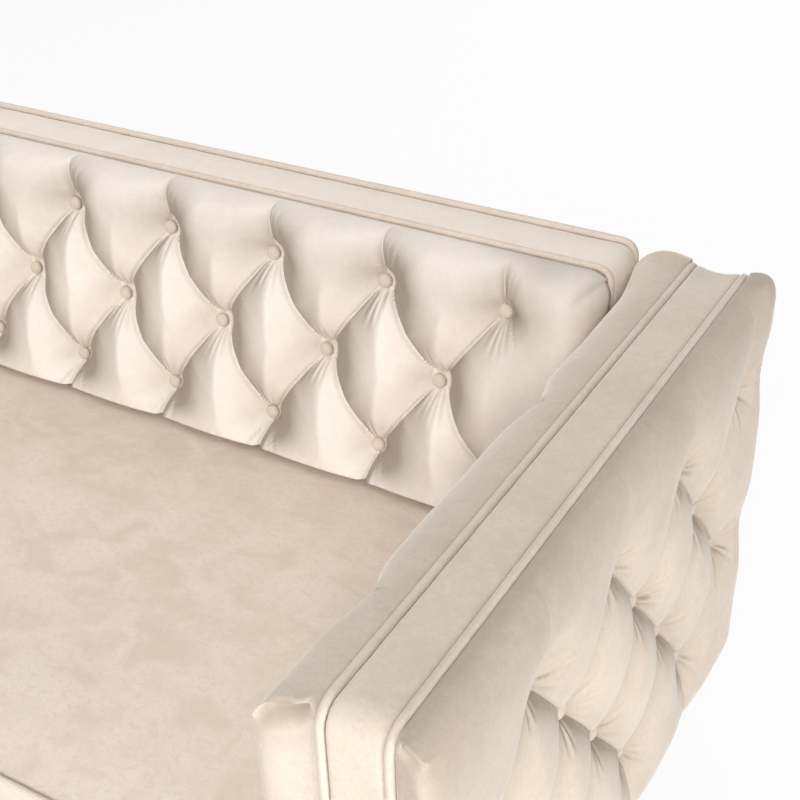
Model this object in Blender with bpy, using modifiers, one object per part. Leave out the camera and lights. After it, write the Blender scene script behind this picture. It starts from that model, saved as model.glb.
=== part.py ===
"""Velvet sofa with a deep-buttoned back and arms, a loose bench cushion and a timber frame.

Metres, +Z up. The front of the sofa faces -Y and right means +X, as seen from the front.
The floor is z = 0 and the origin is at the middle of the footprint.
"""

import math

import bmesh
import bpy
from mathutils import Matrix, Vector

# Overall form
SEAT_WIDTH = 1.668
ARM_LENGTH = 0.842
ARM_RISE = 0.600
LEG_HEIGHT = 0.155
BACK_THICKNESS = 0.078
BACK_OVERHANG = 0.008
BACK_TILT = math.radians(8.2)
CUSHION_THICKNESS = 0.134

# Gap left between pieces that touch
GAP = 0.0003

# Timber
RAIL_HEIGHT = 0.110
RAIL_THICKNESS = 0.028
RAIL_SETBACK = 0.030
SIDE_POST_DEPTH = 0.055
ARM_TOP_RAIL = 0.050
ARM_BOARD = 0.012
ARM_FRAME = 0.048
ARM_CORNER = 0.016
BACK_BOARD = 0.012
BACK_TOP_RAIL = 0.060
BACK_LOWER_RAIL = 0.055
BACK_LOWER_DEPTH = 0.045
BACK_POST_WIDTH = 0.045
STRETCHER_HEIGHT = 0.060
STRETCHER_WIDTH = 0.060
CORNER_BLOCK = 0.110
CORNER_BLOCK_HEIGHT = 0.045

# Suspension
SPRING_SPACING = 0.210
SPRING_WIRE = 0.0036
SPRING_SWING = 0.026
SPRING_STEP = 0.050
DECK_PAD = 0.008

# Upholstery
INNER_PAD = 0.066
OUTER_PAD = 0.043
BACK_PAD = 0.072
BACK_FOOT = 0.014
BAND = 0.005
PIPING = 0.0090
CUSHION_PIPING = 0.0070
PANEL = 0.010
BORDER = 0.010
DUST_COVER = 0.0012
CUSHION_CROWN = 0.016
CUSHION_DRAW_IN = 0.006
CUSHION_PLAY = 0.004
BACK_PLAY = 0.006
BACK_TUCK = 0.050
BACK_END_SKIN = 0.002
BACK_CORNER = 0.029
BACK_END_DROP = 0.110

# Buttons and pleats
BUTTON = 0.021
BUTTON_RISE = 0.007
BACK_PITCH = 0.1755
BACK_ROW = 0.1206
BACK_ROWS = 3
BACK_FIRST_ROW = 0.067
BACK_END_MARGIN = 0.100
OUTER_PITCH = 0.188
OUTER_ROW = 0.1185
OUTER_ROWS = 4
OUTER_FIRST_ROW = 0.118
OUTER_REAR_MARGIN = 0.068
OUTER_FRONT_MARGIN = 0.090
INNER_PITCH = 0.340
INNER_ROW = 0.118
INNER_ROWS = 3
INNER_FIRST_ROW = 0.064
INNER_FRONT_MARGIN = 0.152

# Legs
LEG_TOP = 0.052
LEG_FOOT = 0.034
LEG_COLLAR = 0.018
LEG_STUD = 0.008
LEG_STUD_LENGTH = 0.034
STUD_PLAY = 0.0005

# Levels
BASE = LEG_HEIGHT + GAP
RAIL_TOP = BASE + RAIL_HEIGHT
DECK_BOTTOM = RAIL_TOP + 2 * GAP + SPRING_WIRE
DECK_TOP = DECK_BOTTOM + DECK_PAD
CUSHION_BOTTOM = DECK_TOP + GAP
SEAT_TOP = CUSHION_BOTTOM + CUSHION_THICKNESS
FRAME_TOP = BASE + ARM_RISE

# Layers of the right arm, from the seat outwards
INNER_FACE = SEAT_WIDTH / 2
INNER_SEAM = INNER_FACE + INNER_PAD
INNER_BOARD = INNER_SEAM + GAP
ARM_CORE = INNER_BOARD + ARM_BOARD + GAP
OUTER_BOARD = ARM_CORE + ARM_FRAME + GAP
OUTER_SEAM = OUTER_BOARD + ARM_BOARD + GAP

# Front and rear planes
ARM_FRONT = (PIPING - ARM_LENGTH - BACK_OVERHANG - PANEL) / 2
ARM_REAR = ARM_FRONT + ARM_LENGTH
RAIL_FRONT = ARM_FRONT + RAIL_SETBACK
RAIL_REAR = ARM_REAR + BACK_OVERHANG
BACK_FRONT_TOP = RAIL_REAR - BACK_THICKNESS
BACK_HALF = INNER_FACE - BACK_PLAY
# The cover over the back's ends is thick enough for the square frame to stay inside its round corner
BACK_END_COVER = BACK_CORNER - math.sqrt(BACK_CORNER ** 2 - (BACK_CORNER - BAND - GAP) ** 2) + BACK_END_SKIN
BACK_FRAME_HALF = BACK_HALF - BACK_END_COVER - GAP
BOARD_BOTTOM = DECK_TOP + 0.015

# Materials: base colour, roughness
VELVET = ("velvet", (0.70, 0.60, 0.49), 0.85)
TIMBER = ("timber", (0.55, 0.38, 0.22), 0.65)
PLYWOOD = ("plywood", (0.66, 0.50, 0.32), 0.70)
STEEL = ("spring steel", (0.34, 0.34, 0.35), 0.35)
FELT = ("deck felt", (0.45, 0.43, 0.40), 0.95)
LINING = ("dust lining", (0.03, 0.03, 0.03), 0.90)
WALNUT = ("walnut", (0.10, 0.055, 0.030), 0.40)

PARTS = None


def clear_scene():
    """Empty the file of objects."""
    for thing in list(bpy.data.objects):
        bpy.data.objects.remove(thing, do_unlink=True)


def new_collection(name):
    """A collection linked to the scene."""
    group = bpy.data.collections.new(name)
    bpy.context.scene.collection.children.link(group)
    return group


def material(kind):
    """The material of a kind, made at its first use."""
    name, colour, roughness = kind
    found = bpy.data.materials.get(name)
    if found:
        return found
    made = bpy.data.materials.new(name)
    made.use_nodes = True
    shader = made.node_tree.nodes["Principled BSDF"]
    shader.inputs["Base Color"].default_value = (*colour, 1.0)
    shader.inputs["Roughness"].default_value = roughness
    return made


def add(name, data, kind, place=None):
    """Put a mesh or curve into the parts collection under its own name."""
    thing = bpy.data.objects.new(name, data)
    data.materials.append(material(kind))
    if place is not None:
        thing.matrix_world = place
    PARTS.objects.link(thing)
    return thing


def place_on(origin, along, up, out):
    """Matrix that carries local x, y, z onto three directions at a point."""
    turn = Matrix((along, up, out)).transposed().to_4x4()
    turn.translation = Vector(origin)
    return turn


def box(name, low, high, kind):
    """A rectangular piece between two corners."""
    mesh = bpy.data.meshes.new(name)
    build = bmesh.new()
    bmesh.ops.create_cube(build, size=1.0)
    size = Vector(high) - Vector(low)
    bmesh.ops.scale(build, vec=size, verts=build.verts)
    bmesh.ops.translate(build, vec=(Vector(low) + Vector(high)) / 2, verts=build.verts)
    build.to_mesh(mesh)
    build.free()
    return add(name, mesh, kind)


def outline(name, rings, thickness, kind, place):
    """A flat piece cut to an outline, with holes where further rings lie inside the first."""
    curve = bpy.data.curves.new(name, "CURVE")
    curve.dimensions = "2D"
    curve.fill_mode = "BOTH"
    curve.extrude = thickness / 2
    for ring in rings:
        spline = curve.splines.new("POLY")
        spline.points.add(len(ring) - 1)
        spline.use_cyclic_u = True
        for point, (x, y) in zip(spline.points, ring):
            point.co = (x, y, 0.0, 1.0)
    return add(name, curve, kind, place)


def circle(x, y, radius, sides=16):
    """Corner points of a round hole."""
    turns = [2 * math.pi * i / sides for i in range(sides)]
    return [(x + radius * math.cos(t), y + radius * math.sin(t)) for t in turns]


def tube(name, points, diameter, kind, closed=False, rounds=1):
    """A round cord or wire along a run of points."""
    curve = bpy.data.curves.new(name, "CURVE")
    curve.dimensions = "3D"
    curve.bevel_depth = diameter / 2
    curve.bevel_resolution = rounds
    curve.use_fill_caps = not closed
    spline = curve.splines.new("POLY")
    spline.points.add(len(points) - 1)
    spline.use_cyclic_u = closed
    for point, place in zip(spline.points, points):
        point.co = (*place, 1.0)
    return add(name, curve, kind)


def arch(left, right, foot, top, radius, steps=6):
    """Open run up one side, over a top with two round corners and down the other side."""
    points = [(left, foot)]
    for i in range(steps + 1):
        turn = math.pi - i * math.pi / (2 * steps)
        points.append((left + radius + radius * math.cos(turn), top - radius + radius * math.sin(turn)))
    for i in range(steps + 1):
        turn = math.pi / 2 - i * math.pi / (2 * steps)
        points.append((right - radius + radius * math.cos(turn), top - radius + radius * math.sin(turn)))
    points.append((right, foot))
    return points


def mirrored(source):
    """The left-hand twin of a right-hand piece."""
    bpy.context.view_layer.update()
    graph = bpy.context.evaluated_depsgraph_get()
    mesh = bpy.data.meshes.new_from_object(source.evaluated_get(graph))
    mesh.transform(Matrix.Scale(-1, 4, (1, 0, 0)) @ source.matrix_world)
    mesh.flip_normals()
    twin = bpy.data.objects.new(source.name.replace("right", "left"), mesh)
    PARTS.objects.link(twin)
    return twin


def lattice(low, high, step, start, rolls):
    """Grid lines in step with the buttons, with closer ones over the roll at each sewn end."""
    lines = {low, high}
    for i in range(math.ceil((low - start) / step), math.floor((high - start) / step) + 1):
        place = start + i * step
        if place - low > max(rolls[0] + 0.004, 0.4 * step) and high - place > max(rolls[1] + 0.004, 0.4 * step):
            lines.add(place)
    for share in (0.22, 0.6, 1.0):
        if rolls[0]:
            lines.add(low + share * rolls[0])
        if rolls[1]:
            lines.add(high - share * rolls[1])
    return sorted(lines)


def diamond_pleats(rows, pitch, top, foot):
    """Pleats between buttons of neighbouring rows, and straight ones to the top and the foot.

    Each is two end points and how far its floor rises by its middle and by its far end.
    """
    pleats = []
    for upper, lower in zip(rows, rows[1:]):
        for u, v in upper:
            for w, z in lower:
                if abs(abs(u - w) - pitch / 2) < 0.1 * pitch:
                    pleats.append(((u, v), (w, z), 0.30, 0.0))
    pleats += [((u, v), (u, top), 0.45, 0.9) for u, v in rows[0]]
    pleats += [((u, v), (u, foot), 0.40, 0.8) for u, v in rows[-1]]
    return pleats


def pleat_share(u, v, pleats, puff, floor):
    """Share of the full padding at a point: low at buttons and pleats, one on a puff's crown."""
    near = puff
    low = 1.0
    for (a, b), (c, d), middle, far in pleats:
        run = (c - a) ** 2 + (d - b) ** 2
        t = max(0.0, min(1.0, ((u - a) * (c - a) + (v - b) * (d - b)) / run))
        gap = math.hypot(u - a - t * (c - a), v - b - t * (d - b))
        if gap < near:
            near = gap
            rise = far * t if far else middle * math.sin(math.pi * t)
            low = floor + (1 - floor) * rise
    crown = math.sqrt(1 - (1 - near / puff) ** 2)
    return low + (1 - low) * crown


def rolled(distance, radius, swell):
    """Share of the padding, place across and outward swell where a cover rolls over to its seam."""
    if distance >= radius:
        return 1.0, distance, 0.0
    turn = distance / radius * math.pi / 2
    return math.sin(turn), radius * (1 - math.cos(turn)), swell * math.sin(2 * turn)


def tufted_pad(name, place, us, vs, rows, pleats, pad):
    """A padded cover with buttons and pleats on a flat back, sewn down at its four edges.

    The settings give the padding, the puff's half width, the share left under a button, and
    for each edge (low u, high u, low v, high v) the roll's radius and how far it swells out.
    """
    mesh = bpy.data.meshes.new(name)
    build = bmesh.new()
    bmesh.ops.create_grid(build, x_segments=len(us) - 1, y_segments=len(vs) - 1, size=1.0)
    knots = {}
    spots = {}
    for vert in build.verts:
        i = round((vert.co.x + 1) / 2 * (len(us) - 1))
        j = round((vert.co.y + 1) / 2 * (len(vs) - 1))
        vert.co = pad_point(us[i], vs[j], us, vs, pleats, pad)
        knots[i, j] = vert
        spots[vert] = (us[i], vs[j])
    for face in list(build.faces):
        a, b, c, d = face.verts
        u, v = ((spots[a][k] + spots[c][k]) / 2 for k in (0, 1))
        cover = pad_point(u, v, us, vs, pleats, pad).z
        first = abs(a.co.z + c.co.z - 2 * cover) < abs(b.co.z + d.co.z - 2 * cover)
        bmesh.utils.face_split(face, *((a, c) if first else (b, d)))
    rim = [edge for edge in build.edges if edge.is_boundary]
    flat_back = bmesh.ops.holes_fill(build, edges=rim, sides=len(rim))["faces"]
    bmesh.ops.poke(build, faces=flat_back)
    for u, v in [spot for row in rows for spot in row]:
        i = min(range(1, len(us) - 1), key=lambda k: abs(us[k] - u))
        j = min(range(1, len(vs) - 1), key=lambda k: abs(vs[k] - v))
        raise_button(build, knots[i, j])
    bmesh.ops.recalc_face_normals(build, faces=build.faces)
    if build.calc_volume(signed=True) < 0:
        bmesh.ops.reverse_faces(build, faces=build.faces)
    build.to_mesh(mesh)
    build.free()
    return add(name, mesh, VELVET, place)


def pad_point(u, v, us, vs, pleats, pad):
    """Place of the cover over a point of the flat back."""
    left, right, low, high = [rolled(gap, *edge) for gap, edge in zip(
        (u - us[0], us[-1] - u, v - vs[0], vs[-1] - v), pad["edges"])]
    height = pad["depth"] * pleat_share(u, v, pleats, pad["puff"], pad["floor"])
    if "foot" in pad:
        thin, start, end = pad["foot"]
        climb = max(0.0, min(1.0, (v - start) / (end - start)))
        height = thin + (height - thin) * climb * climb * (3 - 2 * climb)
    across = left[0] * right[0]
    along = low[0] * high[0]
    x = us[0] + left[1] - left[2] * along if u < (us[0] + us[-1]) / 2 else us[-1] - right[1] + right[2] * along
    y = vs[0] + low[1] - low[2] * across if v < (vs[0] + vs[-1]) / 2 else vs[-1] - high[1] + high[2] * across
    return Vector((x, y, height * min(across, along)))


def raise_button(build, knot):
    """Turn the faces round a tuft's deepest point into a covered button."""
    caps = list(knot.link_faces)
    bmesh.ops.inset_region(build, faces=caps, thickness=0.002)
    ring = {vert for face in caps for vert in face.verts} - {knot}
    for vert in ring:
        out = (vert.co - knot.co).to_2d().normalized() * BUTTON / 2
        vert.co = knot.co + Vector((out.x, out.y, 0.0))
    made = bmesh.ops.extrude_face_region(build, geom=caps)["geom"]
    centre = knot.co.copy()
    for vert in [item for item in made if isinstance(item, bmesh.types.BMVert)]:
        flat = (vert.co - centre) * 0.72
        vert.co = centre + Vector((flat.x, flat.y, BUTTON_RISE))
    bmesh.ops.delete(build, geom=caps, context="FACES")


def button_rows(count, first, spacing, centre, pitch, low, high):
    """Button places of each row: every second row is shifted by half a pitch."""
    rows = []
    for i in range(count):
        shift = centre + (pitch / 2 if i % 2 else 0.0)
        start = math.ceil((low - shift) / pitch)
        end = math.floor((high - shift) / pitch)
        rows.append([(shift + k * pitch, first - i * spacing) for k in range(start, end + 1)])
    return rows


def seat_frame():
    """Front and rear rails, the stretcher between them and the blocks that hold the legs."""
    half = INNER_BOARD - GAP
    box("front_rail", (-half, RAIL_FRONT, BASE), (half, RAIL_FRONT + RAIL_THICKNESS, RAIL_TOP), TIMBER)
    box("rear_rail", (-half, RAIL_REAR - RAIL_THICKNESS, BASE), (half, RAIL_REAR, RAIL_TOP), TIMBER)
    low = RAIL_FRONT + RAIL_THICKNESS + GAP
    high = RAIL_REAR - RAIL_THICKNESS - GAP
    side = STRETCHER_WIDTH / 2
    bored = circle(0.0, (low + high) / 2, LEG_STUD / 2 + STUD_PLAY)
    frame = [(-side, low), (side, low), (side, high), (-side, high)]
    outline("centre_stretcher", [frame, bored], STRETCHER_HEIGHT, TIMBER,
            Matrix.Translation((0, 0, BASE + STRETCHER_HEIGHT / 2)))
    for x, y in block_centres():
        wide = CORNER_BLOCK / 2
        square = [(x - wide, y - wide), (x + wide, y - wide), (x + wide, y + wide), (x - wide, y + wide)]
        name = "corner_block_front_right" if y < 0 else "corner_block_rear_right"
        block = outline(name, [square, circle(x, y, LEG_STUD / 2 + STUD_PLAY)], CORNER_BLOCK_HEIGHT, TIMBER,
                        Matrix.Translation((0, 0, BASE + CORNER_BLOCK_HEIGHT / 2)))
        mirrored(block)


def block_centres():
    """Centres of the two right-hand corner blocks, where the legs stand."""
    x = INNER_BOARD - 2 * GAP - CORNER_BLOCK / 2
    front = RAIL_FRONT + RAIL_THICKNESS + GAP + CORNER_BLOCK / 2
    rear = RAIL_REAR - RAIL_THICKNESS - GAP - CORNER_BLOCK / 2
    return [(x, front), (x, rear)]


def legs():
    """Turned legs, each with a stud that runs up into its block."""
    profile = [(0.0, LEG_HEIGHT + LEG_STUD_LENGTH), (LEG_STUD / 2, LEG_HEIGHT + LEG_STUD_LENGTH),
               (LEG_STUD / 2, LEG_HEIGHT), (LEG_TOP / 2, LEG_HEIGHT), (LEG_TOP / 2, LEG_HEIGHT - LEG_COLLAR),
               (LEG_TOP / 2 - 0.003, LEG_HEIGHT - LEG_COLLAR - 0.003), (LEG_FOOT / 2, 0.003),
               (LEG_FOOT / 2 - 0.003, 0.0), (0.0, 0.0)]
    (x, front), (same, rear) = block_centres()
    spots = {"leg_front_right": (x, front), "leg_rear_right": (x, rear), "leg_front_left": (-x, front),
             "leg_rear_left": (-x, rear), "leg_centre": (0.0, (RAIL_FRONT + RAIL_REAR) / 2)}
    for name, (across, along) in spots.items():
        mesh = bpy.data.meshes.new(name)
        build = bmesh.new()
        corners = [build.verts.new((radius, 0.0, z)) for radius, z in profile]
        for a, b in zip(corners, corners[1:]):
            build.edges.new((a, b))
        build.to_mesh(mesh)
        build.free()
        leg = add(name, mesh, WALNUT, Matrix.Translation((across, along, 0.0)))
        turn = leg.modifiers.new("Turned", "SCREW")
        turn.axis = "Z"
        turn.steps = 20
        turn.render_steps = 20
        turn.use_merge_vertices = True
        turn.merge_threshold = 0.0001


def arm():
    """The right arm from its core outwards, then its left-hand twin."""
    side = Matrix(((0, 0, 1, 0), (1, 0, 0, 0), (0, 1, 0, 0), (0, 0, 0, 1)))

    def sheet(name, ring, x, thickness, kind):
        return outline(name, [ring], thickness, kind, Matrix.Translation((x + thickness / 2, 0, 0)) @ side)

    core = (ARM_CORE, ARM_CORE + ARM_FRAME)
    rail = FRAME_TOP - ARM_TOP_RAIL
    panel = arch(ARM_FRONT, ARM_REAR, BASE, FRAME_TOP, ARM_CORNER)
    pieces = [
        box("right_side_rail", (core[0], ARM_FRONT, BASE), (core[1], ARM_REAR, RAIL_TOP), TIMBER),
        box("right_arm_front_post", (core[0], ARM_FRONT, RAIL_TOP + GAP),
            (core[1], ARM_FRONT + SIDE_POST_DEPTH, rail - GAP), TIMBER),
        box("right_arm_rear_post", (core[0], ARM_REAR - SIDE_POST_DEPTH, RAIL_TOP + GAP),
            (core[1], ARM_REAR, rail - GAP), TIMBER),
        sheet("right_arm_top_rail", arch(ARM_FRONT, ARM_REAR, rail, FRAME_TOP, ARM_CORNER),
              ARM_CORE, ARM_FRAME, TIMBER),
        sheet("right_arm_inner_board", panel, INNER_BOARD, ARM_BOARD, PLYWOOD),
        sheet("right_arm_outer_board", panel, OUTER_BOARD, ARM_BOARD, PLYWOOD),
    ]
    cord = PIPING / 2
    under = arch(ARM_FRONT - GAP, ARM_REAR + GAP, BASE, FRAME_TOP + GAP, ARM_CORNER + GAP)
    over = arch(ARM_FRONT - GAP - BAND, ARM_REAR + GAP + BAND, BASE, FRAME_TOP + GAP + BAND,
                ARM_CORNER + GAP + BAND)
    band_low = INNER_SEAM + PIPING + 2 * GAP
    band_high = OUTER_SEAM - PIPING - 2 * GAP
    pieces.append(sheet("right_arm_band", over + under[::-1], band_low, band_high - band_low, VELVET))
    run = arch(ARM_FRONT - GAP - cord, ARM_REAR + GAP + cord, BASE, FRAME_TOP + GAP + cord,
               ARM_CORNER + GAP + cord, steps=4)
    for name, x in (("inner", INNER_SEAM + GAP + cord), ("outer", OUTER_SEAM - GAP - cord)):
        pieces.append(tube("right_arm_" + name + "_piping", [(x, y, z) for y, z in run], PIPING, VELVET))
    pieces.append(arm_inner_pad())
    pieces.append(arm_outer_pad())
    for piece in pieces:
        mirrored(piece)


def arm_inner_pad():
    """Pad on the seat side of the right arm, with wide diamonds and a roll over the arm's top."""
    foot = DECK_TOP + GAP - FRAME_TOP
    rows = button_rows(INNER_ROWS, -INNER_FIRST_ROW, INNER_ROW, ARM_FRONT + INNER_FRONT_MARGIN, INNER_PITCH,
                       ARM_FRONT + 0.06, BACK_FRONT_TOP - BACK_PAD - 0.10)
    rows = [[(-u, v) for u, v in row] for row in rows]
    pleats = diamond_pleats(rows, INNER_PITCH, 0.0, max(foot, SEAT_TOP - FRAME_TOP))
    pad = {"depth": INNER_PAD, "puff": 0.085, "floor": 0.50,
           "edges": ((0.022, 0.014), (0.018, 0.014), (0.012, 0.0), (0.046, 0.034))}
    us = lattice(-ARM_REAR, -ARM_FRONT, INNER_PITCH / 6, -ARM_FRONT - INNER_FRONT_MARGIN, (0.022, 0.018))
    vs = lattice(foot, 0.0, INNER_ROW / 3, -INNER_FIRST_ROW, (0.0, 0.046))
    place = place_on((INNER_SEAM, 0, FRAME_TOP), (0, -1, 0), (0, 0, 1), (-1, 0, 0))
    return tufted_pad("right_arm_inner_pad", place, us, vs, rows, pleats, pad)


def arm_outer_pad():
    """Deep-tufted pad on the outside of the right arm."""
    foot = BASE - FRAME_TOP
    rows = button_rows(OUTER_ROWS, -OUTER_FIRST_ROW, OUTER_ROW, ARM_REAR - OUTER_REAR_MARGIN, OUTER_PITCH,
                       ARM_FRONT + OUTER_FRONT_MARGIN, ARM_REAR - 0.5 * OUTER_REAR_MARGIN)
    pleats = diamond_pleats(rows, OUTER_PITCH, 0.0, foot)
    pad = {"depth": OUTER_PAD, "puff": 0.066, "floor": 0.36,
           "edges": ((0.020, 0.014), (0.020, 0.014), (0.026, 0.010), (0.032, 0.022))}
    us = lattice(ARM_FRONT, ARM_REAR, OUTER_PITCH / 6, ARM_REAR - OUTER_REAR_MARGIN, (0.020, 0.020))
    vs = lattice(foot, 0.0, OUTER_ROW / 3, -OUTER_FIRST_ROW, (0.026, 0.032))
    place = place_on((OUTER_SEAM, 0, FRAME_TOP), (0, 1, 0), (0, 0, 1), (1, 0, 0))
    return tufted_pad("right_arm_outer_pad", place, us, vs, rows, pleats, pad)


def back_line(z):
    """Front plane of the tilted back board at a height."""
    return BACK_FRONT_TOP - (FRAME_TOP - z) * math.tan(BACK_TILT)


def back_frame():
    """Posts, rails and the tilted board of the back."""
    side = Matrix(((0, 0, 1, 0), (1, 0, 0, 0), (0, 1, 0, 0), (0, 0, 0, 1)))
    skin = BACK_BOARD / math.cos(BACK_TILT)

    def bar(name, x, width, low, high, depth=None):
        near_low = back_line(low) + skin + GAP
        near_high = back_line(high) + skin + GAP
        far = (RAIL_REAR, RAIL_REAR) if depth is None else (near_low + depth, near_high + depth)
        ring = [(near_low, low), (far[0], low), (far[1], high), (near_high, high)]
        return outline(name, [ring], width, TIMBER, Matrix.Translation((x, 0, 0)) @ side)

    low = RAIL_TOP + GAP
    high = FRAME_TOP - BACK_TOP_RAIL - GAP
    end = BACK_FRAME_HALF - BACK_POST_WIDTH / 2
    mirrored(bar("back_post_right", end, BACK_POST_WIDTH, low, high))
    bar("back_post_centre", 0.0, BACK_POST_WIDTH, low, high)
    bar("back_top_rail", 0.0, 2 * BACK_FRAME_HALF, FRAME_TOP - BACK_TOP_RAIL, FRAME_TOP)
    span = 2 * (end - BACK_POST_WIDTH / 2 - GAP)
    clear = (span - BACK_POST_WIDTH) / 2 - GAP
    x = (BACK_POST_WIDTH + clear) / 2 + GAP
    mirrored(bar("back_lower_rail_right", x, clear, BOARD_BOTTOM, BOARD_BOTTOM + BACK_LOWER_RAIL,
                 BACK_LOWER_DEPTH))
    ring = [(back_line(BOARD_BOTTOM), BOARD_BOTTOM), (back_line(BOARD_BOTTOM) + skin, BOARD_BOTTOM),
            (back_line(FRAME_TOP) + skin, FRAME_TOP), (back_line(FRAME_TOP), FRAME_TOP)]
    outline("back_board", [ring], 2 * BACK_FRAME_HALF, PLYWOOD, side)


def back_cover():
    """Tufted pad, top band, two pipings and the outside panel of the back."""
    tilt = math.cos(BACK_TILT)
    foot = -(FRAME_TOP - SEAT_TOP + BACK_TUCK) / tilt
    seat = -(FRAME_TOP - SEAT_TOP) / tilt
    span = BACK_HALF - BACK_END_MARGIN
    centre = 0.0
    rows = button_rows(BACK_ROWS, -BACK_FIRST_ROW, BACK_ROW, centre, BACK_PITCH, -span, span)
    pleats = diamond_pleats(rows, BACK_PITCH, 0.0, seat)
    us = lattice(-BACK_HALF, BACK_HALF, BACK_PITCH / 6, centre, (0.0, 0.0))
    vs = lattice(foot, 0.0, BACK_ROW / 3, -BACK_FIRST_ROW, (0.0, 0.040))
    tuck = seat + CUSHION_CROWN / 2
    vs = sorted([v for v in vs if abs(v - tuck) > 0.014] + [tuck])
    pad = {"depth": BACK_PAD, "puff": 0.066, "floor": 0.45, "foot": (BACK_FOOT, tuck, tuck + 0.042),
           "edges": ((0.030, 0.0), (0.030, 0.0), (0.010, 0.0), (0.040, 0.018))}
    place = place_on((0, BACK_FRONT_TOP - GAP, FRAME_TOP), (1, 0, 0), (0, math.sin(BACK_TILT), tilt),
                     (0, -tilt, math.sin(BACK_TILT)))
    tufted_pad("back_pad", place, us, vs, rows, pleats, pad)

    cord = PIPING / 2
    near = BACK_FRONT_TOP + cord
    far = RAIL_REAR + GAP + cord
    edge = BACK_FRAME_HALF + GAP
    over = arch(-BACK_HALF, BACK_HALF, FRAME_TOP - BACK_END_DROP, FRAME_TOP + GAP + BAND, BACK_CORNER)
    under = [(-edge, FRAME_TOP - BACK_END_DROP), (-edge, FRAME_TOP + GAP), (edge, FRAME_TOP + GAP),
             (edge, FRAME_TOP - BACK_END_DROP)]
    front = near + cord + GAP
    deep = far - cord - GAP - front
    place = place_on((0, front + deep / 2, 0), (1, 0, 0), (0, 0, 1), (0, -1, 0))
    outline("back_top_band", [band_ring(over, under)], deep, VELVET, place)
    rise = FRAME_TOP + GAP + cord
    corner = [(-BACK_HALF + cord + GAP, rise), (BACK_HALF - cord - GAP, rise)]
    tube("back_front_piping", [(x, near, z) for x, z in corner], PIPING, VELVET)
    tube("back_rear_piping", [(x, far, z) for x, z in corner], PIPING, VELVET)
    half = [(BACK_HALF, FRAME_TOP), (BACK_HALF, DECK_TOP), (INNER_SEAM, DECK_TOP), (INNER_SEAM, BASE)]
    ring = half + [(-x, z) for x, z in half[::-1]]
    place = place_on((0, RAIL_REAR + GAP + PANEL / 2, 0), (1, 0, 0), (0, 0, 1), (0, -1, 0))
    outline("back_outside_panel", [ring], PANEL, VELVET, place)


def band_ring(over, under):
    """Closed outline of a strip from its outer and inner runs."""
    return over + under[::-1]


def suspension():
    """Sinuous springs from rail to rail and the pad that covers them."""
    front = RAIL_FRONT + RAIL_THICKNESS / 2
    rear = RAIL_REAR - RAIL_THICKNESS / 2
    waves = round((rear - front) / SPRING_STEP) - 1
    step = (rear - front) / (waves + 1)
    pairs = math.floor((BACK_FRAME_HALF - BACK_POST_WIDTH - SPRING_SWING) / SPRING_SPACING + 0.5)
    wire = RAIL_TOP + GAP + SPRING_WIRE / 2
    for i in range(2 * pairs):
        x = (i - pairs + 0.5) * SPRING_SPACING
        points = [(x, front, wire)]
        for k in range(waves):
            side = SPRING_SWING if k % 2 else -SPRING_SWING
            y = front + (k + 1) * step
            points += [(x + 0.75 * side, y - 0.3 * step, wire), (x + side, y, wire),
                       (x + 0.75 * side, y + 0.3 * step, wire)]
        points.append((x, rear, wire))
        tube("seat_spring_" + str(i + 1), points, SPRING_WIRE, STEEL, rounds=0)
    half = INNER_FACE - CUSHION_PLAY
    box("deck_pad", (-half, RAIL_FRONT, DECK_BOTTOM), (half, back_line(DECK_TOP) - BACK_FOOT / 2, DECK_TOP), FELT)


def cushion_point(a, b, c):
    """Place on the seat cushion for shares of its width, depth and height from -1 to 1."""
    cord = CUSHION_PIPING / 2
    edge = (cord + GAP) * math.cos(math.pi / 4) + cord
    front = RAIL_FRONT - BORDER - GAP + edge
    padded = back_line(SEAT_TOP - BACK_TUCK) - GAP - BACK_FOOT / math.cos(BACK_TILT)
    rear = min(padded, back_line(BOARD_BOTTOM) - edge) - CUSHION_PLAY
    half_wide = INNER_FACE - CUSHION_PLAY - edge
    half_deep = (rear - front) / 2
    low = CUSHION_BOTTOM + edge
    high = SEAT_TOP - edge
    x = a * (half_wide - CUSHION_DRAW_IN * (1 - b ** 4))
    y = (front + rear) / 2 + b * (half_deep - CUSHION_DRAW_IN * (1 - a ** 4))
    z = (low + high) / 2 + c * (high - low) / 2
    if c > 0:
        z += c * CUSHION_CROWN * (1 - a ** 6) * (1 - b ** 4)
    return Vector((x, y, z))


def seat():
    """Loose bench cushion with a cord round its top and bottom edges."""
    wide, deep, tall = 22, 10, 2
    mesh = bpy.data.meshes.new("seat_cushion")
    build = bmesh.new()
    bmesh.ops.create_cube(build, size=2.0)
    for axis, cuts in enumerate((wide - 1, deep - 1, tall - 1)):
        run = [e for e in build.edges if abs((e.verts[0].co - e.verts[1].co)[axis]) > 1.9]
        bmesh.ops.subdivide_edges(build, edges=run, cuts=cuts, use_grid_fill=True)
    for vert in build.verts:
        vert.co = cushion_point(*vert.co)
    build.to_mesh(mesh)
    build.free()
    add("seat_cushion", mesh, VELVET)
    for name, c in (("seat_cushion_top_piping", 1), ("seat_cushion_bottom_piping", -1)):
        tube(name, cushion_cord(c), CUSHION_PIPING, VELVET, closed=True)


def cushion_cord(c):
    """Run of the cord just outside the cushion's top or bottom edge."""
    stand = (CUSHION_PIPING / 2 + GAP) * math.cos(math.pi / 4)
    walk = [(i / 5 - 1, -1) for i in range(10)] + [(1, i / 3 - 1) for i in range(6)]
    walk += [(-x, -y) for x, y in walk]
    run = []
    for a, b in walk:
        out = Vector((a if abs(a) == 1 else 0.0, b if abs(b) == 1 else 0.0, 0.0))
        run.append(cushion_point(a, b, c) + stand * (out + Vector((0, 0, c))))
    return run


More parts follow.
